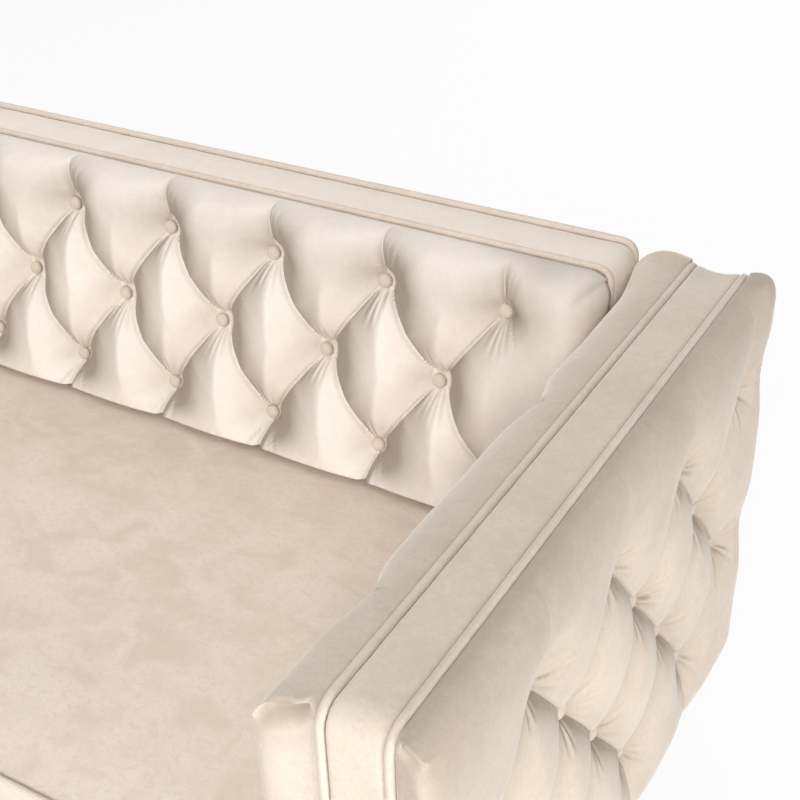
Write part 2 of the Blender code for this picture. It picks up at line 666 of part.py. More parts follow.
def base_covers():
    """Padded border on the front rail and the lining under the frame."""
    half = INNER_SEAM
    box("front_border", (-half, RAIL_FRONT - GAP - BORDER, BASE), (half, RAIL_FRONT - GAP, DECK_TOP), VELVET)
    (x, front), (same, rear) = block_centres()
    half_ring = [(INNER_SEAM, RAIL_FRONT), (INNER_SEAM, ARM_FRONT), (OUTER_SEAM, ARM_FRONT), (OUTER_SEAM, ARM_REAR),
                 (INNER_SEAM, ARM_REAR), (INNER_SEAM, RAIL_REAR)]
    ring = half_ring + [(-a, b) for a, b in half_ring[::-1]]
    spots = [(x, front), (x, rear), (-x, front), (-x, rear), (0.0, (RAIL_FRONT + RAIL_REAR) / 2)]
    holes = [circle(a, b, LEG_TOP / 2 + 0.002) for a, b in spots]
    outline("dust_cover", [ring] + holes, DUST_COVER, LINING,
            Matrix.Translation((0, 0, BASE - GAP - DUST_COVER / 2)))


def main():
    """Build every piece of the sofa."""
    global PARTS
    clear_scene()
    PARTS = new_collection("velvet_sofa")
    seat_frame()
    legs()
    arm()
    back_frame()
    back_cover()
    suspension()
    seat()
    base_covers()


main()
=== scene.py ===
# %% [markdown]
# # A velvet sofa with a buttoned back
# The hard parts of this sofa, its frame, rails and legs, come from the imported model.
# This lesson dresses that frame. It makes the tufted covers, the cords along the seams, the
# loose bench cushion and the finishes, and then sets the light and the camera.

# %% Load the frame
import math

import bmesh
import bpy
import numpy as np
from mathutils import Matrix, Vector, noise


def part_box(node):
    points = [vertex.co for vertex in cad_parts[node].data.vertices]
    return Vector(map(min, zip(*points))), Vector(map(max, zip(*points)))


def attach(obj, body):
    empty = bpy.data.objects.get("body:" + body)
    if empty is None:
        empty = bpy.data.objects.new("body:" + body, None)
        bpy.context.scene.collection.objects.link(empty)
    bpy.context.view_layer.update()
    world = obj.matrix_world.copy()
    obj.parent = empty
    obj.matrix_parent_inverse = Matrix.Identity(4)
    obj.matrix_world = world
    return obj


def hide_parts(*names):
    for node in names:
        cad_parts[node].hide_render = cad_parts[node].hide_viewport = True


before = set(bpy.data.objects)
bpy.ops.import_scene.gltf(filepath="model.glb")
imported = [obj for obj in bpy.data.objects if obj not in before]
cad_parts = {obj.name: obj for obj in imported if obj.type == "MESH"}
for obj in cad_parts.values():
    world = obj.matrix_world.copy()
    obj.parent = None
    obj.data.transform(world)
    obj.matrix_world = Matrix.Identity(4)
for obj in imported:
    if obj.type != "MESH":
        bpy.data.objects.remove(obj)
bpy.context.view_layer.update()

# %% [markdown]
# ## Where the frame is
# Upholstery follows its frame, so every place below is read from the boxes of the timber and
# of the pads. Only what a box can't tell, such as the lean of the back or the spacing of the
# buttons, is written here as a value.

# %% Places read from the frame
GAP = 0.0003
BACK_TILT = math.radians(8.2)
inner_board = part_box("right_arm_inner_board")
outer_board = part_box("right_arm_outer_board")
inner_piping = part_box("right_arm_inner_piping")
PIPING = inner_piping[1].x - inner_piping[0].x
FRAME_TOP = inner_board[1].z
BASE = inner_board[0].z
ARM_FRONT, ARM_REAR = inner_board[0].y, inner_board[1].y
INNER_SEAM = inner_board[0].x - GAP
OUTER_SEAM = outer_board[1].x + GAP
BACK_FRONT_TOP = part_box("back_front_piping")[0].y
BACK_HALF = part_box("back_pad")[1].x
DECK_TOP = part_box("deck_pad")[1].z
RAIL_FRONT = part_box("front_rail")[0].y
RAIL_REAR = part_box("rear_rail")[1].y
SEAT_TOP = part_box("seat_cushion_top_piping")[1].z
print("arm", round(ARM_FRONT, 4), round(ARM_REAR, 4), "seams", round(INNER_SEAM, 4), round(OUTER_SEAM, 4))
print("top", round(FRAME_TOP, 4), "seat", round(SEAT_TOP, 4), "back", round(BACK_FRONT_TOP, 4))

# %% [markdown]
# ## Camera and stage
# The photograph looks down on the right-hand corner of the sofa. Its focal length and its
# place were worked out from the straight runs of piping, whose real directions are known.
# The stage is a plain pale floor with even studio light from the front and the right, and a
# little from the rear so that the outside of the back isn't dark. The white of the background
# is seen by the camera, mirrors and clear materials only, so it adds no light to the velvet.

# %% Camera
FOCAL_PIXELS = 1403.4
IMAGE_PIXELS = 800
YAW, PITCH, ROLL = math.radians(30.97), math.radians(33.07), math.radians(-1.853)
CAMERA_PLACE = (1.372, -1.0695, 1.5601)

ahead = Vector((-math.sin(YAW), math.cos(YAW), 0.0))
across = Vector((math.cos(YAW), math.sin(YAW), 0.0))
up = Vector((0.0, 0.0, 1.0))
looking = math.cos(PITCH) * ahead - math.sin(PITCH) * up
upward = math.sin(PITCH) * ahead + math.cos(PITCH) * up
right_hand = math.cos(ROLL) * across + math.sin(ROLL) * upward
top_hand = math.cos(ROLL) * upward - math.sin(ROLL) * across
camera = bpy.data.objects.new("camera", bpy.data.cameras.new("camera"))
bpy.context.scene.collection.objects.link(camera)
pose = Matrix((right_hand, top_hand, -looking)).transposed().to_4x4()
pose.translation = CAMERA_PLACE
camera.matrix_world = pose
camera.data.sensor_width = 36.0
camera.data.lens = camera.data.sensor_width * FOCAL_PIXELS / IMAGE_PIXELS
bpy.context.scene.camera = camera
bpy.context.scene.view_settings.view_transform = "Standard"
print("lens", round(camera.data.lens, 2), "mm")

# %% Floor
def seen_directly(nodes, links):
    """One where a ray comes from the camera, a mirror or a clear material, and zero elsewhere."""
    path = nodes.new("ShaderNodeLightPath")
    first = nodes.new("ShaderNodeMath")
    first.operation = "MAXIMUM"
    links.new(path.outputs["Is Camera Ray"], first.inputs[0])
    links.new(path.outputs["Is Glossy Ray"], first.inputs[1])
    second = nodes.new("ShaderNodeMath")
    second.operation = "MAXIMUM"
    links.new(first.outputs[0], second.inputs[0])
    links.new(path.outputs["Is Transmission Ray"], second.inputs[1])
    return second.outputs[0]


FLOOR_RADIUS = 14.0
FLOOR_COLOUR = (0.75, 0.745, 0.74, 1.0)
FLOOR_WHITE = 0.93
floor_mesh = bpy.data.meshes.new("floor")
disc = bmesh.new()
bmesh.ops.create_circle(disc, cap_ends=True, segments=96, radius=FLOOR_RADIUS)
disc.to_mesh(floor_mesh)
disc.free()
floor = bpy.data.objects.new("floor", floor_mesh)
bpy.context.scene.collection.objects.link(floor)
floor_finish = bpy.data.materials.new("pale floor")
floor_finish.use_nodes = True
nodes, links = floor_finish.node_tree.nodes, floor_finish.node_tree.links
nodes.clear()
matt = nodes.new("ShaderNodeBsdfDiffuse")
matt.inputs["Color"].default_value = FLOOR_COLOUR
glow = nodes.new("ShaderNodeEmission")
glow.inputs["Strength"].default_value = 1.0
share = nodes.new("ShaderNodeMath")
share.operation = "MULTIPLY"
share.inputs[1].default_value = FLOOR_WHITE
links.new(seen_directly(nodes, links), share.inputs[0])
mix = nodes.new("ShaderNodeMixShader")
links.new(share.outputs[0], mix.inputs[0])
links.new(matt.outputs[0], mix.inputs[1])
links.new(glow.outputs[0], mix.inputs[2])
links.new(mix.outputs[0], nodes.new("ShaderNodeOutputMaterial").inputs["Surface"])
floor_mesh.materials.append(floor_finish)
print("floor", FLOOR_RADIUS, "m in radius")

# %% World
world = bpy.data.worlds.new("studio")
bpy.context.scene.world = world
world.use_nodes = True
nodes, links = world.node_tree.nodes, world.node_tree.links
nodes.clear()
heading = nodes.new("ShaderNodeTexCoord")
split = nodes.new("ShaderNodeSeparateXYZ")
links.new(heading.outputs["Generated"], split.inputs[0])
level = nodes.new("ShaderNodeMapRange")
for label, number in (("From Min", 0.0), ("From Max", 0.9), ("To Min", 0.24), ("To Max", 0.30)):
    level.inputs[label].default_value = number
links.new(split.outputs["Z"], level.inputs["Value"])
sky = nodes.new("ShaderNodeBackground")
links.new(level.outputs[0], sky.inputs["Strength"])
white = nodes.new("ShaderNodeBackground")
white.inputs["Color"].default_value = (1.0, 1.0, 1.0, 1.0)
mix = nodes.new("ShaderNodeMixShader")
links.new(seen_directly(nodes, links), mix.inputs[0])
links.new(sky.outputs[0], mix.inputs[1])
links.new(white.outputs[0], mix.inputs[2])
links.new(mix.outputs[0], nodes.new("ShaderNodeOutputWorld").inputs["Surface"])
print("world:", world.name)

# %% Studio lights
LIGHTS = {
    "key light": ((2.5, -4.8, 3.9), 2.6, 285.0),
    "front light": ((0.8, -4.2, 1.0), 1.6, 24.0),
    "top light": ((-0.9, -0.5, 2.9), 2.2, 16.0),
    "rear light": ((-0.1, 1.3, 2.6), 1.8, 15.0),
    "side light": ((3.4, -1.2, 0.25), 1.5, 62.0),
    "low rear light": ((0.3, 4.6, 1.4), 2.5, 50.0),
}
AIM = Vector((0.4, 0.0, 0.5))
for name, (place, size, power) in LIGHTS.items():
    lamp = bpy.data.lights.new(name, "AREA")
    lamp.shape = "DISK"
    lamp.size = size
    lamp.energy = power
    lamp_object = bpy.data.objects.new(name, lamp)
    bpy.context.scene.collection.objects.link(lamp_object)
    lamp_object.location = place
    lamp_object.rotation_euler = (AIM - Vector(place)).to_track_quat("-Z", "Y").to_euler()
print("lights:", ", ".join(LIGHTS))

# %% [markdown]
# ## Velvet
# Velvet is a short dense pile. It looks paler at a slant, because the tips of the fibres catch
# the light, and it shows cloudy marks where the pile has been stroked one way or the other.
# The sheen of the shader gives the first, and layers of soft noise give the second. Fine noise
# in the bump is the pile itself. The covers carry a value of painted shade for each point, which
# deepens the colour in the pleats and creases, on the flanks of the puffs that slope one way, in
# the pocket under the lip of an arm and near the top and the ends of a cover.

# %% Tools for finishes
def new_finish(name):
    """A new material with its nodes, links and shader, and the place of each point on its piece."""
    made = bpy.data.materials.new(name)
    made.use_nodes = True
    nodes, links = made.node_tree.nodes, made.node_tree.links
    return made, nodes, links, nodes["Principled BSDF"], nodes.new("ShaderNodeTexCoord").outputs["Object"]


def noise_layer(nodes, links, place, scale, detail, stretch=(1.0, 1.0, 1.0), twist=0.0):
    """A soft noise of so many marks to the metre, stretched along an axis if asked."""
    mapping = nodes.new("ShaderNodeMapping")
    mapping.inputs["Scale"].default_value = stretch
    links.new(place, mapping.inputs["Vector"])
    layer = nodes.new("ShaderNodeTexNoise")
    layer.inputs["Scale"].default_value = scale
    layer.inputs["Detail"].default_value = detail
    layer.inputs["Distortion"].default_value = twist
    links.new(mapping.outputs[0], layer.inputs["Vector"])
    return layer.outputs["Fac"]


def ranged(nodes, links, value, low, high, out_low, out_high):
    """A value carried from one range to another."""
    spread = nodes.new("ShaderNodeMapRange")
    ends = (("From Min", low), ("From Max", high), ("To Min", out_low), ("To Max", out_high))
    for label, number in ends:
        spread.inputs[label].default_value = number
    links.new(value, spread.inputs["Value"])
    return spread.outputs[0]


def bumped(nodes, links, value, strength, distance, below=None):
    """A bump from a noise, laid over another bump where there is one."""
    bump = nodes.new("ShaderNodeBump")
    bump.inputs["Strength"].default_value = strength
    bump.inputs["Distance"].default_value = distance
    links.new(value, bump.inputs["Height"])
    if below is not None:
        links.new(below, bump.inputs["Normal"])
    return bump.outputs[0]


def blended(nodes, links, share, first, second, mode="MIX"):
    """Two colours mixed by a share."""
    mixer = nodes.new("ShaderNodeMix")
    mixer.data_type = "RGBA"
    mixer.blend_type = mode
    links.new(share, mixer.inputs["Factor"])
    for socket, colour in ((mixer.inputs[6], first), (mixer.inputs[7], second)):
        if isinstance(colour, tuple):
            socket.default_value = colour
        else:
            links.new(colour, socket)
    return mixer.outputs[2]


print("finish tools ready")

# %% Velvet finish
# painted light and shade: each part gets its own lighter or darker copy of the one cream velvet, palest on the back
# and border and darkest on the arms, and its third colour is the painted shade of its creases
TONES = {
    "arms": ((0.702, 0.609, 0.526, 1.0), (0.579, 0.489, 0.408, 1.0), (0.50, 0.47, 0.435, 1.0)),
    "back": ((0.900, 0.822, 0.752, 1.0), (0.805, 0.724, 0.650, 1.0), (0.42, 0.390, 0.355, 1.0)),
    "border": ((0.840, 0.752, 0.672, 1.0), (0.752, 0.660, 0.575, 1.0), (0.50, 0.47, 0.435, 1.0)),
    "seat": ((0.784, 0.684, 0.596, 1.0), (0.652, 0.552, 0.462, 1.0), (0.70, 0.67, 0.635, 1.0)),
}


def velvet_finish(part, marks, crushed, brushed, sheen):
    """Cream velvet with so many stroked marks to the metre, shares of crushed and brushed pile, and a sheen."""
    light, deep, crease = TONES[part]
    made, nodes, links, shader, place = new_finish("cream velvet of the " + part)
    clouds = noise_layer(nodes, links, place, marks, 5.0, twist=0.8)
    strokes = noise_layer(nodes, links, place, 11.0 * marks, 6.0, twist=0.5)
    crush = noise_layer(nodes, links, place, 150.0, 4.0, stretch=(0.7, 1.0, 0.7), twist=0.6)
    grain = noise_layer(nodes, links, place, 340.0, 3.0)
    tone = blended(nodes, links, ranged(nodes, links, clouds, 0.38, 0.62, 0.25, 0.75), deep, light)
    tone = blended(nodes, links, ranged(nodes, links, strokes, 0.44, 0.64, 0.0, 0.50), tone, light)
    brush = noise_layer(nodes, links, place, 22.0, 6.0, stretch=(0.75, 1.0, 0.75), twist=0.7)
    tone = blended(nodes, links, ranged(nodes, links, brush, 0.47, 0.66, 0.0, brushed), tone, light)
    tone = blended(nodes, links, ranged(nodes, links, brush, 0.47, 0.30, 0.0, brushed), tone, deep)
    tone = blended(nodes, links, ranged(nodes, links, crush, 0.52, 0.70, 0.0, crushed), tone, deep)
    tone = blended(nodes, links, ranged(nodes, links, grain, 0.36, 0.64, 0.0, 0.40), tone, deep)
    # painted shade: this value for each point multiplies the velvet towards its third, darker tone
    painted_shade = nodes.new("ShaderNodeAttribute")
    painted_shade.attribute_name = "painted_shade"
    tone = blended(nodes, links, painted_shade.outputs["Fac"], tone, crease, "MULTIPLY")
    links.new(tone, shader.inputs["Base Color"])
    links.new(ranged(nodes, links, strokes, 0.3, 0.7, 0.82, 0.96), shader.inputs["Roughness"])
    # bump of the pile's stroked marks
    pile_and_flank_shade = bumped(nodes, links, strokes, 0.22, 0.0024)
    pile = noise_layer(nodes, links, place, 1100.0, 2.0)
    links.new(bumped(nodes, links, pile, 0.22, 0.0005, pile_and_flank_shade), shader.inputs["Normal"])
    shader.inputs["Specular IOR Level"].default_value = 0.20
    shader.inputs["Sheen Weight"].default_value = sheen
    shader.inputs["Sheen Roughness"].default_value = 0.38
    shader.inputs["Sheen Tint"].default_value = (1.0, 0.96, 0.91, 1.0)
    return made


velvet = velvet_finish("arms", 7.0, 0.5, 0.35, 0.42)
back_velvet = velvet_finish("back", 7.0, 0.4, 0.3, 0.08)
border_velvet = velvet_finish("border", 7.0, 0.3, 0.2, 0.12)
seat_velvet = velvet_finish("seat", 6.0, 0.6, 0.75, 0.12)
print("velvet finishes:", ", ".join(TONES))

# %% [markdown]
# ## Deep buttoning
# A tufted cover is one sheet laid over padding and pulled down by buttons in staggered rows.
# The spare cloth between two buttons folds into a pleat, and each pleat opens downwards, so
# every puff hangs a little over the one below it. Round a button the cloth gathers into fine
# rays. A simulation could find these folds, but not in the same places as the photograph, so
# the cover is worked out point by point: how far a point is from each pleat says how deep it
# lies, and the folds are then pushed over, as an upholsterer does with a pleat stick.
#
# A cover is a set of named values, in metres where they are lengths and as shares elsewhere.
# Each kind of pleat has its crest, the run of its climb from the button, the reach of its puff
# and how crisp it is. An edge has the radius of its roll, a swell, how square it is and a lift.
# A lid is the lip of cloth over the front of an arm pad, an ear is the raised rear end of its
# top roll, a foot is where the puffs come down on the seat, and a taper thins the padding
# towards the bottom. The shades and the flank shade are painted shade: they only deepen the
# colour, on the flanks that slope one way, in the creases and near the top and the ends.

# %% Rows of buttons and the pleats between them
def button_rows(count, first, spacing, centre, pitch, low, high):
    """Button places of each row: every second row is shifted by half a pitch."""
    rows = []
    for i in range(count):
        shift = centre + (pitch / 2 if i % 2 else 0.0)
        start = math.ceil((low - shift) / pitch)
        end = math.floor((high - shift) / pitch)
        rows.append([(shift + k * pitch, first - i * spacing) for k in range(start, end + 1)])
    return rows


def pleat_lines(rows, pitch, top, foot):
    """Slanting pleats between neighbouring rows, and straight ones rising to the top or falling to the foot."""
    lines = []
    for upper, lower in zip(rows, rows[1:]):
        for a in upper:
            for b in lower:
                if abs(abs(a[0] - b[0]) - pitch / 2) < 0.1 * pitch:
                    lines.append((a, b, "slant_right" if b[0] > a[0] else "slant_left"))
    lines += [(a, (a[0], top), "rising") for a in rows[0]]
    lines += [(a, (a[0], foot), "falling") for a in rows[-1]]
    return lines


def graded(count, tight=0.38):
    """Steps from 0 to 1 that lie closer together near both ends, where the buttons are."""
    x = np.linspace(0.0, 1.0, count + 1)
    return x - tight * np.sin(2 * np.pi * x) / (2 * np.pi)


def grid_lines(low, high, anchor, step, count, rolls, extra=()):
    """Grid lines in step with the buttons, with even ones round the roll at each end."""
    inside = (low + rolls[0], high - rolls[1])
    first = math.floor((low - anchor) / step)
    last = math.ceil((high - anchor) / step)
    lines = [anchor + (i + x) * step for i in range(first, last) for x in graded(count)[:-1]]
    margin = 0.4 * step / count
    lines = [x for x in lines if inside[0] + margin < x < inside[1] - margin]
    for end, sign, roll in ((low, 1, rolls[0]), (high, -1, rolls[1])):
        turns = max(6, round(roll / 0.0028))
        lines += [end + sign * roll * i / turns for i in range(turns + 1)] if roll else [end]
    lines = [x for x in lines if all(abs(x - e) > 0.0006 for e in extra)] + list(extra)
    return np.array(sorted(lines))


print("rows, pleats and grids ready")

# %% Pleats and puffs
BUTTON_FLAT, FLAT_REACH = 0.004, 0.010
FOLD_LINE = 0.0024
LIP_START, LIP_FADE = 0.012, 0.050


def tuft(u, v, cover):
    """Share of the padding at points of a cover, its hollows, and the lines and push of its folds."""
    low = cover["button_share"]
    dips, lips, lines, push_u, push_v = (np.zeros_like(u) for _ in range(5))
    for a, b, kind in cover["pleats"]:
        run_u, run_v = b[0] - a[0], b[1] - a[1]
        run = math.hypot(run_u, run_v)
        t = np.clip(((u - a[0]) * run_u + (v - a[1]) * run_v) / run ** 2, 0.0, 1.0)
        gap_u, gap_v = u - a[0] - t * run_u, v - a[1] - t * run_v
        near = np.hypot(gap_u, gap_v)
        normal = (-run_v / run, run_u / run)
        lapping = normal[0] * cover["lap"][0] + normal[1] * cover["lap"][1]
        if lapping < 0:
            normal = (-normal[0], -normal[1])
        side = (gap_u * normal[0] + gap_v * normal[1]) / (near + 1e-6) * (abs(lapping) > 0.2)
        slanting = kind.startswith("slant")
        away = np.minimum(t, 1.0 - t) * run if slanting else t * run
        crest, climb, puff, crisp = cover[kind]
        floor = low + (crest - low) * (1.0 - np.exp(-(away / climb) ** 1.5))
        radius = puff + side * cover["lean"]
        x = np.clip((near - BUTTON_FLAT * np.exp(-(away / FLAT_REACH) ** 2)) / radius, 0.0, 1.0)
        sharp = np.sqrt(1.0 - (1.0 - x) ** 2)
        soft = 1.0 - (1.0 - x) ** cover["soft"] if "soft" in cover else np.sin(np.pi / 2 * x)
        swelling = crisp * sharp + (1.0 - crisp) * soft
        dips += ((1.0 - floor) * (1.0 - swelling)) ** 4
        lines = np.maximum(lines, np.exp(-(near / FOLD_LINE) ** 2) * (kind != "rising"))
        x = near / cover["lip_width"]
        if slanting:
            along = np.sin(np.pi * t) ** 0.7
        else:
            along = np.exp(-away / LIP_FADE) * np.clip(away / LIP_START, 0.0, 1.0)
        hang = np.maximum(side, 0.0) * x * np.exp(1.0 - x) * along * cover["lap_share"][run_u > 0]
        lips = np.maximum(lips, cover["lip"] * hang)
        push_u -= normal[0] * cover["overhang"] * hang
        push_v -= normal[1] * cover["overhang"] * hang
    dips = np.minimum(dips ** 0.25, 1.0 - low)
    return 1.0 - dips + lips / cover["depth"], dips, lines, push_u, push_v


print("puffs stay flat for", BUTTON_FLAT * 1000, "mm round a button")

# %% Folds on the grid, and thinner padding towards the foot
FOLD_SNAP = 0.0013


def drawn_to_folds(u, v, pleats, reach):
    """Grid points next to a fold moved onto it, so that the fold is one clean line."""
    u, v = u.copy(), v.copy()
    for a, b, kind in pleats:
        run_u, run_v = b[0] - a[0], b[1] - a[1]
        t = np.clip(((u - a[0]) * run_u + (v - a[1]) * run_v) / (run_u ** 2 + run_v ** 2), 0.0, 1.0)
        fold_u, fold_v = a[0] + t * run_u, a[1] + t * run_v
        close = (np.hypot(u - fold_u, v - fold_v) < reach) & kind.startswith("slant")
        u, v = np.where(close, fold_u, u), np.where(close, fold_v, v)
    return u, v


def thinned(v, cover):
    """Share of the padding left at a height, for a cover that thins towards its foot."""
    share, start, reach = cover.get("taper", (0.0, 0.0, 1.0))
    x = np.clip((-v - start) / reach, 0.0, 1.0)
    return 1.0 - share * x * x * (3.0 - 2.0 * x)


print("folds take the grid points within", FOLD_SNAP * 1000, "mm")

# %% Gathers round the buttons
RAY_SPREAD, RAY_SWING = 0.24, 0.05
RAY_FAR = 0.080


def gathers(u, v, cover):
    """Fine wrinkles that fan out under and over each button, in metres."""
    lines = np.zeros_like(u)
    draw = np.random.RandomState(cover["seed"])
    fans = [(spot, cover["fans"]) for row in cover["rows"] for spot in row] + cover.get("puckers", [])
    for spot, fan in fans:
        close = np.flatnonzero(np.hypot(u - spot[0], v - spot[1]) < RAY_FAR)
        du, dv = u[close] - spot[0], v[close] - spot[1]
        rays = [(way, slant + RAY_SPREAD * (i - (count - 1) / 2)) for way, slant, count in fan for i in range(count)]
        for way, slant in rays:
            tilt = draw.normal(slant, RAY_SWING)
            reach = cover["gather_reach"] * draw.uniform(0.6, 1.2)
            height = cover["gather"] * draw.uniform(0.4, 1.0)
            along = way * (du * math.sin(tilt) + dv * math.cos(tilt))
            aside = du * math.cos(tilt) - dv * math.sin(tilt)
            wide = 0.0012 + 0.052 * np.maximum(along, 0.0)
            ridge = np.exp(-(aside / wide) ** 2) - 0.7 * np.exp(-((aside - 0.12 * along) / wide) ** 2)
            fade = np.clip((along - 0.009) / 0.010, 0.0, 1.0) * np.clip(1.0 - (along - 0.014) / reach, 0.0, 1.0)
            lines[close] += height * fade * ridge
    return lines


print("gathers reach up to", RAY_FAR * 1000, "mm from a button")

# %% Soft noise and rolled edges
def soft_noise(points, scale, seed):
    """Smooth noise at points, so many marks to the metre."""
    shift = Vector((seed * 7.3, seed * 3.1, seed * 1.7))
    return np.array([noise.noise(Vector(p) * scale + shift) for p in points])


def rolled(distance, radius, swell, square, lift=0.0):
    """Share of the padding, place across and outward swell where a cover rolls over to its seam.

    A square below one makes a fuller roll, and a lift sets the seam higher up against its cord.
    """
    if np.all(radius == 0.0):
        return np.ones_like(distance), distance, np.zeros_like(distance)
    turn = np.clip(distance / radius, 0.0, 1.0) * np.pi / 2
    place = (radius + lift) * (1.0 - np.cos(turn) ** square) - lift
    return np.sin(turn) ** square, np.where(distance < radius, place, distance), swell * np.sin(2 * turn)


print("noise and rolls ready")

# %% [markdown]
# ## From a shape to a piece
# A cover starts as a grid in the plane of its board. Each point is lifted by the padding, then
# the edges roll over to their seams, the top corners are drawn in, and the front of an arm pad
# is tucked under its lip. A fan of triangles closes the back of the cover, so that it is a solid
# pad and not a loose skin. The right arm's pieces are mirrored for the left arm.

# %% A piece and its left-hand twin
def new_piece(name, points, faces, finish, body, painted_shade=None):
    """A smooth mesh object in the frame's own metres that rides on a body."""
    mesh = bpy.data.meshes.new(name)
    mesh.from_pydata([tuple(p) for p in points], [], faces)
    mesh.polygons.foreach_set("use_smooth", [True] * len(mesh.polygons))
    if painted_shade is not None:
        layer = mesh.attributes.new("painted_shade", "FLOAT", "POINT")
        layer.data.foreach_set("value", np.asarray(painted_shade, np.float32))
    mesh.materials.append(finish)
    mesh.update()
    made = bpy.data.objects.new(name, mesh)
    bpy.context.scene.collection.objects.link(made)
    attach(made, body)
    return made


def with_twin(name, points, faces, node, mirror):
    """A piece's name, points, faces and node, and the same for its left-hand twin where it has one."""
    pairs = [(name, points, faces, node)]
    if mirror:
        left = [text.replace("right", "left") for text in (name, node)]
        pairs.append((left[0], points * (-1, 1, 1), [f[::-1] for f in faces], left[1]))
    return pairs


print("pieces ride on a body, and a twin is made where it is asked for")

# %% Lip at the front of an arm pad
SEAM_CORNER = 0.020


def tuck_front(points, cover, edge, away, tall):
    """Carry the top cloth of an arm pad forward to a lip and tuck the front in under it; gives the pocket."""
    end, sign, reach, depth, corner = cover["lid"]
    roll, square = cover["edges"][3][0], cover["edges"][3][2]
    radius = cover["edges"][0 if sign < 0 else 1][0]
    across = np.clip(points[:, 2] / cover["depth"], 0.0, 1.0)
    outline = roll * ((1.0 - across ** (2 / square)) ** (square / 2) - 1.0)
    below = np.maximum(outline - points[:, 1], 0.0) / reach
    clear = np.clip(across / 0.24, 0.0, 1.0)
    clear = clear ** 2 * (3.0 - 2.0 * clear)
    share = np.clip(1.4 - below, 0.0, 1.0) * np.clip((corner - tall) / 0.10, 0.0, 1.0) * clear
    pocket = np.clip((1.0 - edge) / 0.10, 0.0, 1.0) * np.clip(1.0 - below, 0.0, 1.0) ** 0.8
    pocket *= np.sin(np.pi * (0.10 + 0.80 * edge)) * (away < radius)
    lip = end + sign * 0.008
    forward = (lip - end + sign * radius) * np.exp(-(away - radius) / 0.022)
    on_face = points[:, 0] * (1.0 - share) + (lip - sign * depth * pocket) * share
    points[:, 0] = np.where(away < radius, on_face, points[:, 0] + forward * share)
    bend = np.maximum(SEAM_CORNER - away, 0.0)
    points[:, 1] -= (SEAM_CORNER - np.sqrt(SEAM_CORNER ** 2 - bend ** 2)) * (1.0 - clear) * (1.0 - tall)
    return pocket * share


print("front seams turn with a radius of", SEAM_CORNER * 1000, "mm")

# %% Foot, shade and corners of a cover
def pressed_foot(u, v, height, push_v, cover):
    """Height and downward push of a cover whose puffs come down on the seat."""
    thin, start, climb, sag = cover["foot"]
    notch = sum(np.exp(-((u - b[0]) / 0.006) ** 2) for a, b, kind in cover["pleats"] if kind == "falling")
    pressed = np.exp(-(np.maximum(v - start, 0.0) / 0.024) ** 2) * (1.0 - 0.5 * notch)
    height = height + (0.985 * cover["depth"] - height) * pressed
    x = np.clip((v - start) / climb, 0.0, 1.0)
    height = thin + (height - thin) * np.sqrt(1.0 - (1.0 - x) ** 2)
    return height, push_v - sag * x * np.exp(-np.maximum(v - start - climb, 0.0) / 0.030)


def shaded(cover, height, dips, lines, wrinkles, gaps, flat):
    """Painted shade at each point: in pleats and creases, on the flanks that slope one way as if lit from the other
    side, and near the top and the ends.
    """
    us, vs = cover["us"], cover["vs"]
    ends = np.minimum(gaps[0], gaps[1])
    tilt_v, tilt_u = np.gradient(height.reshape(len(vs), len(us)), vs, us)
    # painted shade on the flanks that slope one way, as if the light fell from the other side
    pile_and_flank_shade = (tilt_u.ravel() * cover["pile_and_flank_shade"][0] + tilt_v.ravel() * cover["pile_and_flank_shade"][1]) / 0.6
    pile_and_flank_shade *= np.clip(ends / cover.get("flank_shade_fade", 0.001), 0.2, 1.0)
    pile_and_flank_shade = np.clip(pile_and_flank_shade + cover["pile_and_flank_shade"][2], 0.0, 1.0)
    pile_and_flank_shade *= np.clip(dips / cover.get("flank_shade_focus", 0.001), 0.0, 1.0) ** 1.5
    # painted shade in the valleys of the gathers, in the pleat dips and along the fold lines
    creased = np.clip(-wrinkles / cover.get("gather", 1.0), 0.0, 0.45)
    painted_shade = np.clip(cover.get("dip_shade", 0.45) * (dips * 1.3 - 0.12) + pile_and_flank_shade + creased, 0.0, 1.0) * flat
    painted_shade = np.maximum(painted_shade, cover.get("line_shade", 0.0) * lines * flat)
    shade, fall, peak = cover.get("top_shade", (0.0, 1.0, 0.0))
    below = np.abs(gaps[3] - peak) / fall
    painted_shade = np.maximum(painted_shade, shade * np.exp(-below ** 2 if peak else -below))
    shade, fall, peak = cover.get("end_shade", (0.0, 1.0, 0.0))
    return np.maximum(painted_shade, shade * np.exp(-((ends - peak) / fall) ** 2))


def rounded_corners(points, cover):
    """Draw the two top corners of a cover in to a radius."""
    for side in (-1, 1):
        along = np.maximum(cover["corner"] - cover["us"][-1] + side * points[:, 0], 0.0)
        above = np.maximum(cover["corner"] - cover["vs"][-1] + points[:, 1], 0.0)
        kept = np.where(along * above > 0, np.maximum(along, above) / np.hypot(along, above + 1e-9), 1.0)
        points[:, 0] -= side * along * (1.0 - kept)
        points[:, 1] -= above * (1.0 - kept)


print("foot, shade and corners ready")

